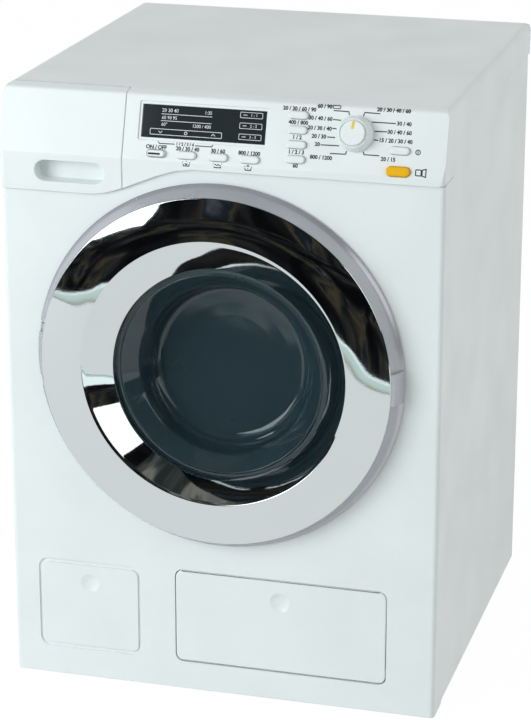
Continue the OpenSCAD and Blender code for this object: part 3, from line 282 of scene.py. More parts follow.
def smooth_by_angle(mesh, degrees):
    """Smooth shading, with edges sharp above an angle."""
    mesh.shade_smooth()
    mesh.set_sharp_from_angle(angle=math.radians(degrees))


def lay_rim_flat(bm):
    """Sinks the panel's low rim round the door into its face, where the photograph shows none."""
    face, centre = FRONT_Y * MM, Vector((0, DOOR_Z * MM))
    start, end = (CHROME_R + reach for reach in DOOR_RIM)
    for v in bm.verts:
        radius = (v.co.xz - centre).length / MM
        if start < radius < end and -DOOR_RIM_H * MM < v.co.y - face < 0:
            v.co.y = face


def paint_lugs(mesh):
    """Gives the hinge lugs, which stand out of the panel's face, the grey of the door frame."""
    mesh.materials.append(MATERIALS["grey_plastic"])
    for face in mesh.polygons:
        if face.center.y < FRONT_Y * MM - 0.02 * MM:
            face.material_index = 1


def dressed(node, body, slot, edge):
    """Copy of a CAD node, its edges softened by a bevel of that many millimetres unless it is 0."""
    bm = bmesh.new()
    bm.from_mesh(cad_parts[node].data)
    if node == "front_panel":
        lay_rim_flat(bm)
    bmesh.ops.remove_doubles(bm, verts=bm.verts, dist=MERGE * MM)
    bmesh.ops.dissolve_limit(bm, angle_limit=math.radians(FLAT_ANGLE), verts=bm.verts, edges=bm.edges)
    mesh = bpy.data.meshes.new(node + "_skin")
    bm.to_mesh(mesh)
    bm.free()
    for name in ("custom_normal", "sharp_face", "sharp_edge"):
        if name in mesh.attributes:
            mesh.attributes.remove(mesh.attributes[name])
    smooth_by_angle(mesh, SHARP_ANGLE)
    piece = add_piece(node + "_skin", mesh, body, slot, MATERIALS[slot], node)
    if node == "front_panel":
        paint_lugs(mesh)
    if edge:
        bevel = piece.modifiers.new("soft_edges", "BEVEL")
        bevel.width = edge * MM
        bevel.segments = 2
        bevel.limit_method = "ANGLE"
        bevel.angle_limit = math.radians(BEVEL_ANGLE)
        bevel.use_clamp_overlap = False
    flat = piece.modifiers.new("flat_faces", "WEIGHTED_NORMAL")
    flat.keep_sharp = True


def rounded_path(points, radii, steps=6):
    """Path through the points with each corner turned into an arc-like curve of that reach."""
    path = [Vector(points[0])]
    for before, at, after, reach in zip(points, points[1:], points[2:], radii):
        before, at, after = Vector(before), Vector(at), Vector(after)
        a = at + (before - at).normalized() * reach
        b = at + (after - at).normalized() * reach
        for i in range(steps + 1):
            t = i / steps
            path.append(a * (1 - t) ** 2 + at * 2 * t * (1 - t) + b * t ** 2)
    return path + [Vector(points[-1])]


def lofted(name, rings, segments=192):
    """Closed mesh through circles that face the front, each (radius, depth, z of its centre)."""
    bm = bmesh.new()
    loops = []
    for radius, y, z in rings:
        if radius == 0:
            loops.append([bm.verts.new(Vector((0, FRONT_Y + y, z)) * MM)])
            continue
        angles = (2 * math.pi * i / segments for i in range(segments))
        loops.append([bm.verts.new(Vector((radius * math.cos(a), FRONT_Y + y, z + radius * math.sin(a))) * MM)
                      for a in angles])
    for one, two in zip(loops, loops[1:] + loops[:1]):
        if len(one) == len(two) == 1:
            continue
        for i in range(segments):
            j = (i + 1) % segments
            corner = [one[i % len(one)], one[j % len(one)], two[j % len(two)], two[i % len(two)]]
            bm.faces.new(list(dict.fromkeys(corner)))
    bmesh.ops.recalc_face_normals(bm, faces=bm.faces)
    mesh = bpy.data.meshes.new(name)
    bm.to_mesh(mesh)
    bm.free()
    smooth_by_angle(mesh, LOFT_SHARP_ANGLE)
    return mesh


# ---- Door ----

def funnel_centre(y):
    """Height of the middle of the funnel at a depth: it sinks from the door's to the window's."""
    up = min(max((FUNNEL_FOOT - y) / (RIDGE_H + FUNNEL_FOOT), 0), 1)
    return WINDOW_Z + WINDOW_DROP * up


def chrome_ring():
    """Sloping ring and funnel. Its section is given as (radius, depth), with how far each corner rounds."""
    outline = [(CHROME_R - 2.4, -CHROME_H + CHROME_T), (CHROME_R - 2.4, -CHROME_H + 0.1),
               (CHROME_R, -CHROME_H + 0.1), (CHROME_R - 0.2, -CHROME_H - 0.15),
               ((CHROME_R + RIDGE_R) / 2, -RIDGE_H + 0.2),
               (RIDGE_R + 0.2, -RIDGE_H + 0.03), (RIDGE_R - 0.9, -RIDGE_H + 0.9),
               (WINDOW_R + 0.2, FUNNEL_FOOT), (WINDOW_R, FLANGE_Y - 0.1),
               (WINDOW_R + CHROME_T, FLANGE_Y - 0.1), (WINDOW_R + CHROME_T, FUNNEL_FOOT + 0.6),
               (RIDGE_R + 1, -RIDGE_H + 2.6), (RIDGE_R + 3, -RIDGE_H + CHROME_T + 0.6)]
    reach = [0, 0.05, 0.15, 8.6, 0.3, 0.5, 0.6, 0.2, 0.2, 0.3, 0.5]
    path = rounded_path(outline, reach, 8)
    rings = [(p.x, p.y, DOOR_Z if p.x > RIDGE_R + 2 else funnel_centre(p.y)) for p in path]
    mesh = lofted("chrome_ring_skin", rings, 256)
    add_piece("chrome_ring_skin", mesh, "door", "chrome", MATERIALS["chrome"], "chrome_ring")


def bowl_bottom(radius):
    """Depth of the bowl's dished bottom at a radius."""
    return BOWL_DEPTH - 0.8 + BOWL_DISH * (1 - (radius / BOTTOM_R) ** 2)


def window_bowl():
    """Stepped bowl of smoked plastic. Its dished bottom leans back a little at the top."""
    steps = BOWL_BOTTOM_STEPS
    face = [(WINDOW_R - inset, depth) for inset, depth in BOWL_WALL]
    face += [(BOTTOM_R + 1.6, BOWL_DEPTH - 1.6)]
    face += [(r, bowl_bottom(r)) for r in (BOTTOM_R * k / steps for k in range(steps, -1, -1))]
    reach = [0.3, 0.9, 1.2, 1.4, 0.9, 0.5] + [0.01] * (steps - 1)
    front = rounded_path([(r - BOWL_T if r > 5 else r * 0.8, y - (0 if i == 0 else BOWL_T))
                          for i, (r, y) in enumerate(face)], reach)
    back = rounded_path(face, reach)
    flange_r = WINDOW_R + 4
    outline = [Vector((flange_r, FLANGE_Y))] + front + back[::-1] + [Vector((flange_r, FLANGE_Y + BOWL_T))]
    outline[len(back) + len(front)] = Vector((WINDOW_R - 0.2, FLANGE_Y + BOWL_T))
    mesh = lofted("window_bowl_skin", [(max(p.x, 0), p.y, WINDOW_Z) for p in outline])
    for v in mesh.vertices:
        deep = min(max((v.co.y / MM - FRONT_Y - LEAN_FROM) / LEAN_OVER, 0), 1)
        v.co.y -= deep * (BOTTOM_R * MM - v.co.z + WINDOW_Z * MM) * math.tan(BOTTOM_LEAN)
    material = MATERIALS["smoked_window"]
    add_piece("window_bowl_skin", mesh, "door", "smoked_window", material, "window_bowl")


# ---- Prints on the control band ----

def on_band(x, z, lift):
    """Point on the band at that place across and up, lifted off the surface. All in millimetres."""
    run = CREASE_R * math.tan(LEAN / 2)
    if z < CREASE_Z - run:
        y, turn = BAND_Y, 0
    elif z > CREASE_Z + run * math.cos(LEAN):
        y, turn = BAND_Y + (z - CREASE_Z) * math.tan(LEAN), LEAN
    else:
        turn = math.asin(min((z - CREASE_Z + run) / CREASE_R, 1))
        y = BAND_Y + CREASE_R * (1 - math.cos(turn))
    return Vector((x, y - lift * math.cos(turn), z + lift * math.sin(turn)))


def on_display(x, z, lift):
    """Point on the display, which lies below the band's surface."""
    return on_band(x, z, lift - DISPLAY_SUNK)


# Height of a figure in Blender's own font, as a share of the font's size
FIGURE_H = 0.72


class Print:
    """Flat marks, drawn in millimetres across and up, that become one thin solid."""

    def __init__(self):
        self.bm = bmesh.new()

    def line(self, points, width, closed=False):
        """Stroke of even width with mitred corners."""
        p = [Vector(q) for q in points]
        n = len(p)
        left, right = [], []
        for i in range(n):
            a = p[i - 1] if i or closed else p[0] * 2 - p[1]
            b = p[(i + 1) % n] if i < n - 1 or closed else p[-1] * 2 - p[-2]
            u, v = (p[i] - a).normalized(), (b - p[i]).normalized()
            side = Vector((-u.y - v.y, u.x + v.x)).normalized()
            side *= width / 2 / max(side.dot(Vector((-u.y, u.x))), 0.3)
            left.append(self.bm.verts.new((p[i] + side).to_3d()))
            right.append(self.bm.verts.new((p[i] - side).to_3d()))
        for i in range(n if closed else n - 1):
            j = (i + 1) % n
            self.bm.faces.new([left[i], left[j], right[j], right[i]])

    def ring(self, x, z, radius, width, steps=20):
        """Circle round x, z."""
        angles = [math.radians(360 * i / steps) for i in range(steps)]
        self.line([(x + radius * math.cos(a), z + radius * math.sin(a)) for a in angles], width, True)

    def frame(self, x0, z0, x1, z1, radius, width):
        """Outline of a rectangle with round corners."""
        corner = [(x1 - radius, z1 - radius, 0), (x0 + radius, z1 - radius, 90),
                  (x0 + radius, z0 + radius, 180), (x1 - radius, z0 + radius, 270)]
        turn = [math.radians(30 * i) for i in range(4)]
        self.line([(x + radius * math.cos(math.radians(a) + t), z + radius * math.sin(math.radians(a) + t))
                   for x, z, a in corner for t in turn], width, True)

    def digits(self, text, x, z, height=1.5, align="CENTER", bold=0.034):
        """Plain figures from Blender's own font, their middle or end at x, z."""
        curve = bpy.data.curves.new("digits", "FONT")
        curve.body = text
        curve.align_x = align
        curve.align_y = "CENTER"
        curve.size = height / FIGURE_H
        curve.offset = bold * curve.size
        curve.resolution_u = 3
        letters = bpy.data.objects.new("digits", curve)
        scene.collection.objects.link(letters)
        bpy.context.view_layer.update()
        shown = letters.evaluated_get(bpy.context.evaluated_depsgraph_get())
        flat = bpy.data.meshes.new_from_object(shown)
        flat.transform(Matrix.Translation((x, z, 0)))
        self.bm.from_mesh(flat)
        bpy.data.objects.remove(letters)
        bpy.data.curves.remove(curve)
        bpy.data.meshes.remove(flat)

    def lay(self, name, surface, body, slot, material, proud=0.05, sunk=0.05):
        """Raises the marks into a thin solid and lays them on a surface."""
        bmesh.ops.remove_doubles(self.bm, verts=self.bm.verts, dist=0.001)
        top = bmesh.ops.extrude_face_region(self.bm, geom=self.bm.faces[:])
        for v in top["geom"]:
            if isinstance(v, bmesh.types.BMVert):
                v.co.z = 1
        for v in self.bm.verts:
            v.co = surface(v.co.x, v.co.y, proud if v.co.z > 0.5 else -sunk) * MM
        bmesh.ops.recalc_face_normals(self.bm, faces=self.bm.faces)
        mesh = bpy.data.meshes.new(name)
        self.bm.to_mesh(mesh)
        self.bm.free()
        return add_piece(name, mesh, body, slot, material)


# How far the keys and the knob stand out of the band and the display lies below it, and the knob's place
KEY_PROUD = 1.4
KNOB_H = 5.7
DISPLAY_SUNK = 0.5
KNOB = (55.9, TOP - 11.3)

# Figures stand where the machine has its legends: text, x, height above the floor
KEY_LEGENDS = [("ON / OFF", -25.8, 238.7), ("20 / 30 / 40", -12.6, 238.7), ("30 / 60", 0.1, 238.7),
               ("800 / 1200", 13.1, 238.7)]
COLUMN_LEGENDS = [("20 / 30 / 60 / 90", 32.3, 256.8), ("400 / 800", 32.2, 251.6), ("1 / 2", 32.2, 246),
                  ("1 / 2 / 3", 32.3, 240.4), ("60", 32.4, 235.2)]
DIAL_LEFT = [("60 / 90", 45.5, 258.3), ("30 / 40 / 60", 46, 253.7), ("20 / 30 / 40", 46, 250),
             ("20 / 30", 44, 246.9), ("20", 41.7, 243.9), ("800 / 1200", 47.1, 239)]
DIAL_RIGHT = [("20 / 30 / 40 / 60", 63.7, 258.4), ("30 / 40", 72.1, 253.6), ("30 / 40 / 60", 68.6, 250.3),
              ("15 / 20 / 30 / 40", 65.4, 247), ("20 / 15", 66.8, 240)]
# Lines from the dial to its legends
DIAL_LEADERS = [
    [(46.2, 257), (52.4, 256.9), (52.7, 255.6)], [(46.3, 253.6), (49.5, 253.5)],
    [(46.2, 250.3), (48, 250.2)], [(44.5, 246.9), (47.7, 246.9)], [(42, 243.8), (49.6, 243.9)],
    [(46.1, 240.8), (52.4, 240.9), (52.8, 242.1)], [(65.1, 256.9), (58.9, 257), (58.4, 255.6)],
    [(61.9, 253.6), (71.7, 253.6)], [(63.4, 250.2), (68.5, 250.3)], [(63.4, 247), (65.2, 246.9)],
    [(59.5, 242.4), (59.9, 241.2), (66.1, 241.2)]]


def band_prints():
    """Legends, leaders and pictograms of the keys and the dial."""
    black = Print()
    for text, x, z in KEY_LEGENDS + COLUMN_LEGENDS:
        black.digits(text, x, z)
    for text, x, z in DIAL_LEFT:
        black.digits(text, x, z, align="RIGHT")
    for text, x, z in DIAL_RIGHT:
        black.digits(text, x, z, align="LEFT")
    for leader in DIAL_LEADERS:
        black.line(leader, 0.4)
    black.line([(-25.3, 240.9), (-24.6, 240.2), (-18.2, 240.3)], 0.36)
    black.line([(-9.6, 240.2), (-2.7, 240.2), (-2.2, 240.9)], 0.36)
    black.digits("1 / 2 / 3 / 4", -13.9, 240.4, 1.2)
    black.frame(45.9, 257.8, 48.9, 259, 0.2, 0.3)
    water_sign(black, -12.8, 233.1, -1)
    tub_sign(black, 0.3, 233.2)
    water_sign(black, 13, 233.1, 1)
    black.ring(81.5, 243.4, 0.9, 0.35)
    black.line([(81.5, 242.9), (81.5, 243.9)], 0.35)
    door_sign(black, 84, 235.8)
    black.lay("band_print", on_band, "cabinet", "black_plastic", BLACK_INK)


def water_sign(mark, x, z, way):
    """Arrow into or out of a bowl."""
    mark.line([(x - 1.5, z + 0.7), (x - 1.1, z - 0.9), (x + 1.1, z - 0.9), (x + 1.5, z + 0.7)], 0.4)
    mark.line([(x, z - 0.4), (x, z + 1.1)], 0.4)
    tip = z + 0.35 + way * 0.75
    mark.line([(x - 0.5, tip - way * 0.55), (x, tip), (x + 0.5, tip - way * 0.55)], 0.4)


def tub_sign(mark, x, z):
    """Tub with a wave."""
    mark.line([(x - 1.8, z + 0.9), (x - 1.3, z - 0.8), (x + 1.3, z - 0.8), (x + 1.8, z + 0.9)], 0.4)
    mark.line([(x - 1.3 + 2.6 * i / 12, z + 0.3 + 0.2 * math.sin(math.pi * i / 3)) for i in range(13)], 0.32)


def door_sign(mark, x, z):
    """Door that stands open beside its frame."""
    mark.frame(x - 2.8, z - 1.1, x - 0.6, z + 1.1, 0.3, 0.4)
    mark.line([(x - 0.2, z + 1.1), (x + 1.3, z + 1.5), (x + 1.3, z - 1.5), (x - 0.2, z - 1.1)], 0.4, True)


def control_prints():
    """Dash on the start button and yellow pointer on the knob."""
    dash = Print()
    dash.line([(-28.7, 236.1), (-23.7, 236.1)], 0.75)
    dash.frame(-29.3, 234.95, -21.9, 237.55, 1.2, 0.12)
    dash.lay("start_dash", lambda x, z, lift: on_band(x, z, lift + KEY_PROUD),
             "start_button", "black_plastic", BLACK_INK)
    pointer = Print()
    x, z = KNOB
    pointer.line([(x - 0.3, z + 1.5), (x + 0.15, z + 4.4)], 1.05)
    pointer.lay("knob_pointer", lambda x, z, lift: on_band(x, z, lift + KNOB_H),
                "knob", "yellow_plastic", YELLOW_INK, 0.08, 0.15)


def display_prints():
    """Figures, rules and frames that the display shows."""
    white = Print()
    white.digits("20 30 40", -24.7, 253, 1.4, "LEFT", 0.01)
    white.digits("1:35", -3.7, 253, 1.3, "RIGHT", 0.01)
    white.digits("60 90 95", -24.6, 250.2, 1.3, "LEFT", 0.01)
    white.digits("60°", -24.6, 247.6, 1.3, "LEFT", 0.01)
    white.digits("1200 / 400", -3.8, 247.6, 1.3, "RIGHT", 0.01)
    for z in (251.6, 249):
        white.line([(-24.9, z), (-3.6, z)], 0.22)
    white.frame(-29.1, 243.6, 0.9, 245.8, 0.3, 0.22)
    white.line([(-25.6, 245), (-24.8, 244.3), (-24, 245)], 0.25)
    white.ring(-14.1, 244.7, 0.55, 0.25)
    white.line([(-3.4, 244.4), (-2.6, 245.1), (-1.8, 244.4)], 0.25)
    for z, figure in ((253.15, "1"), (249.05, "2"), (244.85, "3")):
        white.frame(8.1, z - 1.05, 17.3, z + 1.05, 0.25, 0.2)
        white.line([(9.3, z), (10.9, z)], 0.25)
        white.digits(figure + " - " + figure, 13.8, z, 1.1, bold=0.01)
    white.lay("display_print", on_display, "cabinet", "white_plastic", WHITE_INK)


# ---- Stage, lights and camera ----

# Sizes from here on are in metres. The floor lies a little below the machine's feet. Its white is a
# mix of an even white, by that share and at that level, and of the floor's own shaded colour.
FLOOR_COLOUR = (206, 208, 208)
FLOOR_SIZE = 16
FLOOR_Z = -0.0002
WHITE_SHARE = 0.88
WHITE_LEVEL = 1.08
# Level of the soft light at the horizon and overhead
AMBIENT_LEVEL = (0.69, 0.37)
AMBIENT_COLOUR = (247, 252, 250)

# Glowing card on the floor in front that carries a painted reflection for the chrome to mirror: a painted
# table edge, with a painted highlight line along it, and a painted dark room past it. Bearing across its
# edge, where it starts and where its border ends along that bearing, and the border's colours. Round a point
# to the right, between two distances from it, the border's pale painted light goes over into the painted
# dark.
CARD_Z = -0.0001
CARD_AHEAD = (0.41, -0.912, 0)
CARD_START = (0.503, 0.505)
CARD_EDGE = (0.563, 0.567)
PAINTED_TABLE_EDGE = [(0.506, (118, 122, 104)), (0.514, (176, 188, 180)), (0.53, (196, 210, 204)),
               (0.546, (176, 200, 200)), (0.55, (236, 244, 244)), (0.563, (240, 248, 248))]
CARD_WING = (0.66, -0.34, 0)
CARD_WING_REACH = (0.36, 0.38)

# Glowing screen round the front with a painted reflection of a dark room: degrees to each side, radius, and
# degrees between its points. Its painted streaks give way to painted ceiling patches between two heights, as
# shares of the radius.
SCREEN_HALF = 115
SCREEN_RADIUS = 4
SCREEN_STEP = 5
SCREEN_CEILING = (0.78, 0.84)

# How bright the cards glow with their painted reflections, and the colours by the value of a noise: painted
# streaks of a dark room and painted dim patches of its ceiling
CARD_LEVEL = 1.45
PAINTED_ROOM_STREAKS = [(0.38, (8, 9, 11)), (0.5, (20, 21, 23)), (0.56, (40, 40, 38)), (0.6, (64, 56, 40)),
                (0.63, (16, 24, 32)), (0.7, (30, 34, 40)), (0.78, (84, 88, 90))]
PAINTED_CEILING_PATCHES = [(0.4, (36, 42, 42)), (0.48, (58, 62, 60)), (0.55, (112, 110, 104)), (0.65, (96, 96, 92))]

LAMP_AIM = Vector((0, 0, 0.13))
CAMERA_AT = (0.2934, -1.0667, 0.4951)
CAMERA_TURN = (71.28, 0.02, 15.69)
CAMERA_LENS = 130.69


def add_light(name, azimuth, elevation, distance, size, power, colour):
    """Soft lamp on a bearing round the machine, in degrees, metres and watts."""
    a, e = math.radians(azimuth), math.radians(elevation)
    away = Vector((math.sin(a) * math.cos(e), -math.cos(a) * math.cos(e), math.sin(e)))
    data = bpy.data.lights.new(name, "AREA")
    data.shape = "RECTANGLE"
    data.size, data.size_y = size
    data.energy = power
    data.color = srgb(*colour)[:3]
    lamp = bpy.data.objects.new(name, data)
    lamp.location = LAMP_AIM + away * distance
    lamp.rotation_mode = "QUATERNION"
    lamp.rotation_quaternion = away.to_track_quat("Z", "Y")
    lamp.visible_camera = False
    scene.collection.objects.link(lamp)


def painted_room_reflection(tree, where, across):
    """Painted reflection of a dark room: upright streaks that change with the bearing and a little across it.
    """
    new, link = tree.nodes.new, tree.links.new
    bearing = new("ShaderNodeTexGradient")
    bearing.gradient_type = "RADIAL"
    link(where, bearing.inputs["Vector"])
    place = new("ShaderNodeCombineXYZ")
    link(bearing.outputs["Fac"], place.inputs["X"])
    link(across, place.inputs["Y"])
    spread = new("ShaderNodeMapping")
    spread.inputs["Scale"].default_value = (60, 1.6, 1)
    link(place.outputs["Vector"], spread.inputs["Vector"])
    streaks = new("ShaderNodeTexNoise")
    streaks.noise_dimensions = "2D"
    for socket, value in (("Scale", 1), ("Detail", 4), ("Distortion", 0.4)):
        streaks.inputs[socket].default_value = value
    link(spread.outputs["Vector"], streaks.inputs["Vector"])
    return ramp(tree, streaks.outputs["Fac"], PAINTED_ROOM_STREAKS)


def painted_ceiling_reflection(tree, direction):
    """Painted reflection of dim patches overhead."""
    noise = tree.nodes.new("ShaderNodeTexNoise")
    for socket, value in (("Scale", 4.5), ("Detail", 3), ("Distortion", 0.8)):
        noise.inputs[socket].default_value = value
    tree.links.new(direction, noise.inputs["Vector"])
    return ramp(tree, noise.outputs["Fac"], PAINTED_CEILING_PATCHES)


def straight_rays(tree):
    """1 where the camera, metal or glass looks straight at the backdrop."""
    rays = tree.nodes.new("ShaderNodeLightPath")
    seen = rays.outputs["Is Camera Ray"]
    for ray in ("Is Glossy Ray", "Is Transmission Ray"):
        either = tree.nodes.new("ShaderNodeMath")
        either.operation = "MAXIMUM"
        tree.links.new(seen, either.inputs[0])
        tree.links.new(rays.outputs[ray], either.inputs[1])
        seen = either.outputs["Value"]
    return seen


def ramp(tree, value, stops):
    """Colour ramp through the stops, each (position, colour)."""
    node = tree.nodes.new("ShaderNodeValToRGB")
    tree.links.new(value, node.inputs["Fac"])
    marks = node.color_ramp.elements
    while len(marks) < len(stops):
        marks.new(1)
    for mark, (position, colour) in zip(marks, stops):
        mark.position, mark.color = position, srgb(*colour)
    return node.outputs["Color"]


def add_floor():
    """Wide floor that camera, metal and glass see as white, with the machine's shadow."""
    bpy.ops.mesh.primitive_plane_add(size=FLOOR_SIZE, location=(0, 0, FLOOR_Z))
    floor = bpy.context.object
    floor.name = "floor"
    finish = Finish("floor_white", Roughness=0.6).mottle(srgb(*FLOOR_COLOUR), 0.01, 8)
    link = finish.link
    white, mix = finish.node("ShaderNodeEmission"), finish.node("ShaderNodeMixShader")
    white.inputs["Color"].default_value = (1, 1, 1, 1)
    white.inputs["Strength"].default_value = WHITE_LEVEL
    seen = finish.node("ShaderNodeMath", operation="MULTIPLY")
    seen.inputs[1].default_value = WHITE_SHARE
    link(straight_rays(finish.tree), seen.inputs[0])
    link(seen.outputs["Value"], mix.inputs["Fac"])
    link(finish.shader.outputs["BSDF"], mix.inputs[1])
    link(white.outputs["Emission"], mix.inputs[2])
    link(mix.outputs["Shader"], finish.tree.nodes["Material Output"].inputs["Surface"])
    floor.data.materials.append(finish.material)


def paint_reflection_card(card, finish, colour, cover=None):
    """Makes a mesh a glowing card that paints a reflection: only reflections show it, where its cover is 1.
    """
    card.visible_camera = card.visible_diffuse = card.visible_transmission = False
    card.visible_shadow = card.visible_volume_scatter = False
    glow = finish.node("ShaderNodeEmission")
    finish.link(colour, glow.inputs["Color"])
    glow.inputs["Strength"].default_value = CARD_LEVEL
    surface = glow.outputs["Emission"]
    if cover:
        clear, mix = finish.node("ShaderNodeBsdfTransparent"), finish.node("ShaderNodeMixShader")
        finish.link(cover, mix.inputs["Fac"])
        finish.link(clear.outputs["BSDF"], mix.inputs[1])
        finish.link(surface, mix.inputs[2])
        surface = mix.outputs["Shader"]
    finish.link(surface, finish.tree.nodes["Material Output"].inputs["Surface"])
    finish.material.cycles.emission_sampling = "NONE"
    card.data.materials.append(finish.material)


def add_floor_reflection_card():
    """Glowing card on the floor in front with a painted reflection that the chrome mirrors: a painted
    green-edged table edge with its painted highlight line, then a painted dark room.
    """
    bpy.ops.mesh.primitive_plane_add(size=FLOOR_SIZE, location=(0, 0, CARD_Z))
    card = bpy.context.object
    card.name = "painted_reflection_floor_card"
    finish = Finish("painted_reflection_floor_card")
    tree, link = finish.tree, finish.link
    ahead = finish.node("ShaderNodeVectorMath", operation="DOT_PRODUCT")
    ahead.inputs[1].default_value = CARD_AHEAD
    link(finish.where, ahead.inputs[0])
    near = finish.node("ShaderNodeVectorMath", operation="DISTANCE")
    near.inputs[1].default_value = CARD_WING
    link(finish.where, near.inputs[0])
    # Past the painted table edge comes the painted dark room, except round the point to the right, where the
    # border's pale painted light stays
    past = finish.node("ShaderNodeMath", operation="MULTIPLY")
    link(finish.ranged(ahead.outputs["Value"], 0, 1, *CARD_EDGE), past.inputs[0])
    link(finish.ranged(near.outputs["Value"], 0, 1, *CARD_WING_REACH), past.inputs[1])
    mix = finish.node("ShaderNodeMix", data_type="RGBA")
    link(past.outputs["Value"], mix.inputs["Factor"])
    link(ramp(tree, ahead.outputs["Value"], PAINTED_TABLE_EDGE), mix.inputs["A"])
    far = finish.node("ShaderNodeVectorMath", operation="LENGTH")
    link(finish.where, far.inputs[0])
    link(painted_room_reflection(tree, finish.where, far.outputs["Value"]), mix.inputs["B"])
    paint_reflection_card(card, finish, mix.outputs["Result"], finish.ranged(ahead.outputs["Value"], 0, 1, *CARD_START))


def screen_mesh():
    """Part of a globe round the front, from the floor to overhead."""
    bearings = range(-SCREEN_HALF, SCREEN_HALF + 1, SCREEN_STEP)
    heights = range(0, 91, SCREEN_STEP)
    points = []
    for e in map(math.radians, heights):
        for a in map(math.radians, bearings):
            points.append((SCREEN_RADIUS * math.sin(a) * math.cos(e),
                           -SCREEN_RADIUS * math.cos(a) * math.cos(e), SCREEN_RADIUS * math.sin(e)))
    across = len(bearings)
    faces = [(i + j * across, i + 1 + j * across, i + 1 + (j + 1) * across, i + (j + 1) * across)
             for j in range(len(heights) - 1) for i in range(across - 1)]
    mesh = bpy.data.meshes.new("painted_reflection_screen")
    mesh.from_pydata(points, [], faces)
    return mesh


def add_front_reflection_card():
    """Glowing curved screen round the front, open behind the machine, with a painted reflection of a dark
    room that the chrome mirrors.
    """
    card = bpy.data.objects.new("painted_reflection_screen", screen_mesh())
    scene.collection.objects.link(card)
    finish = Finish("painted_reflection_screen")
    tree, link = finish.tree, finish.link
    direction = finish.node("ShaderNodeVectorMath", operation="NORMALIZE")
    link(finish.where, direction.inputs[0])
    direction = direction.outputs["Vector"]
    split = finish.node("ShaderNodeSeparateXYZ")
    link(direction, split.inputs["Vector"])
    mix = finish.node("ShaderNodeMix", data_type="RGBA")
    link(finish.ranged(split.outputs["Z"], 0, 1, *SCREEN_CEILING), mix.inputs["Factor"])
    link(painted_room_reflection(tree, direction, split.outputs["Z"]), mix.inputs["A"])
    link(painted_ceiling_reflection(tree, direction), mix.inputs["B"])
    paint_reflection_card(card, finish, mix.outputs["Result"])


def add_world():
    """Even white for camera, metal and glass, and a soft light from all round, weaker overhead."""
    world = bpy.data.worlds.new("studio")
    scene.world = world
    world.use_nodes = True
    tree = world.node_tree
    tree.nodes.clear()
    new, link = tree.nodes.new, tree.links.new
    white, soft = (new("ShaderNodeBackground") for _ in range(2))
    white.inputs["Color"].default_value = (1, 1, 1, 1)
    soft.inputs["Color"].default_value = srgb(*AMBIENT_COLOUR)
    split = new("ShaderNodeSeparateXYZ")
    link(new("ShaderNodeTexCoord").outputs["Generated"], split.inputs["Vector"])
    level = new("ShaderNodeMapRange")
    level.inputs["To Min"].default_value, level.inputs["To Max"].default_value = AMBIENT_LEVEL
    link(split.outputs["Z"], level.inputs["Value"])
    link(level.outputs["Result"], soft.inputs["Strength"])
    mix, out = new("ShaderNodeMixShader"), new("ShaderNodeOutputWorld")
    link(straight_rays(tree), mix.inputs["Fac"])
    link(soft.outputs["Background"], mix.inputs[1])
    link(white.outputs["Background"], mix.inputs[2])
    link(mix.outputs["Shader"], out.inputs["Surface"])


def add_camera():
    """Camera at the photograph's place, its lens for a picture of 531 by 720 with the long side upright; the
    picture's size is not set here.
    """
    data = bpy.data.cameras.new("camera")
    data.lens = CAMERA_LENS
    data.sensor_width = 36
    data.clip_start, data.clip_end = 0.05, 30
    camera = bpy.data.objects.new("camera", data)
    camera.location = CAMERA_AT
    camera.rotation_euler = [math.radians(a) for a in CAMERA_TURN]
    scene.collection.objects.link(camera)
    scene.camera = camera


# ---- Putting it together ----

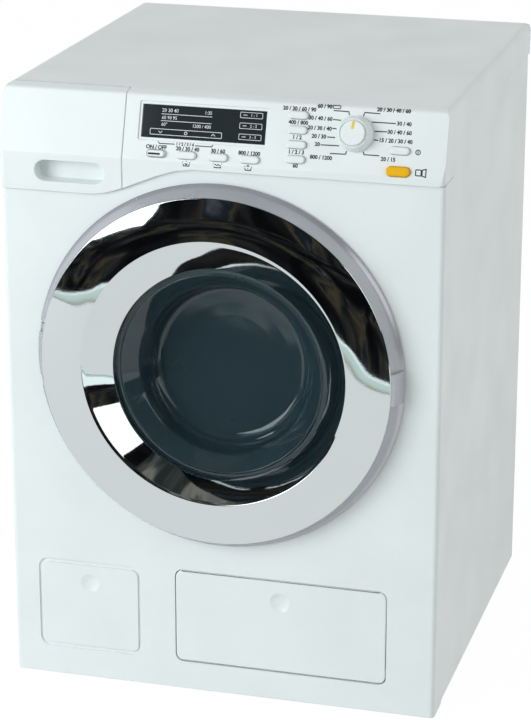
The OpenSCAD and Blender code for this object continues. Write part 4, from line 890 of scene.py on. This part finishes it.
# Skins over the pieces that are seen: node, body, slot, bevel in millimetres or 0 for none
SKINS = [
    ("top_cover", "cabinet", "white_plastic", 0), ("housing_shell", "cabinet", "white_plastic", 0.2),
    ("front_panel", "cabinet", "white_plastic", 0), ("base_plate", "cabinet", "white_plastic", 0.2),
    ("drawer_front", "drawer", "white_plastic", 0.3), ("drawer_tray", "drawer", "tub_plastic", 0.2),
    ("service_flap", "flap", "white_plastic", 0.5), ("door_frame", "door", "grey_plastic", 0),
    ("door_back_ring", "door", "grey_plastic", 0.2), ("programme_knob", "knob", "white_plastic", 0.25),
    ("display_window", "cabinet", "display", 0.15), ("flap_box", "cabinet", "tub_plastic", 0.15),
    ("door_gasket", "cabinet", "rubber_grey", 0.15), ("battery_cover", "cabinet", "white_plastic", 0.2),
    ("battery_box", "cabinet", "tub_plastic", 0.2), ("drain_plug", "plug", "rubber_grey", 0.2),
    ("latch_hook", "door", "grey_plastic", 0.15), ("door_button", "door_button", "yellow_plastic", 0.6),
    ("power_button", "power_button", "white_plastic", 0.55),
    ("start_button", "start_button", "white_plastic", 0.55)]
SKINS += [(f"{kind}_{n}", f"{kind}_{n}", "white_plastic", 0.55)
          for kind, first in (("row_button", 2), ("option_button", 1)) for n in range(first, 5)]

# Pieces that keep their CAD solid and get a material: slot, nodes
KEPT = {
    "tub_plastic": ["tub", "drawer_housing", "gear_bracket"],
    "drum_metal": ["drum", "drum_back", "drum_lifters"],
    "gear_plastic": ["drum_gear", "idler_gear", "motor_pinion"],
    "steel": ["motor", "idler_pin", "battery_contacts", "battery_cover_screw", "housing_screws",
              "latch_spring", "hinge_pin", "door_screws", "drum_shaft"],
    "black_plastic": ["selector_switch", "speaker"],
    "rubber_grey": ["drain_hose", "key_mat"],
    "circuit_green": ["circuit_board"],
    "bearing_brass": ["drum_bearing"],
    "grey_plastic": ["latch_slider"],
    "cell_wrap": ["batteries"],
}

for node, body, slot, edge in SKINS:
    dressed(node, body, slot, edge)
for slot, nodes in KEPT.items():
    for node in nodes:
        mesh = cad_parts[node].data
        mesh.materials.clear()
        mesh.materials.append(MATERIALS[slot])
chrome_ring()
window_bowl()
band_prints()
display_prints()
control_prints()

add_floor()
# Glowing cards that carry painted reflections of a dark room and a table edge, seen in reflections alone
add_floor_reflection_card()
add_front_reflection_card()
add_world()
add_light("key", -38, 17, 1.2, (0.66, 0.7), 7.7, (246, 252, 255))
add_light("side", 69, 23, 1.3, (0.5, 0.76), 2.1, (255, 255, 255))
add_camera()
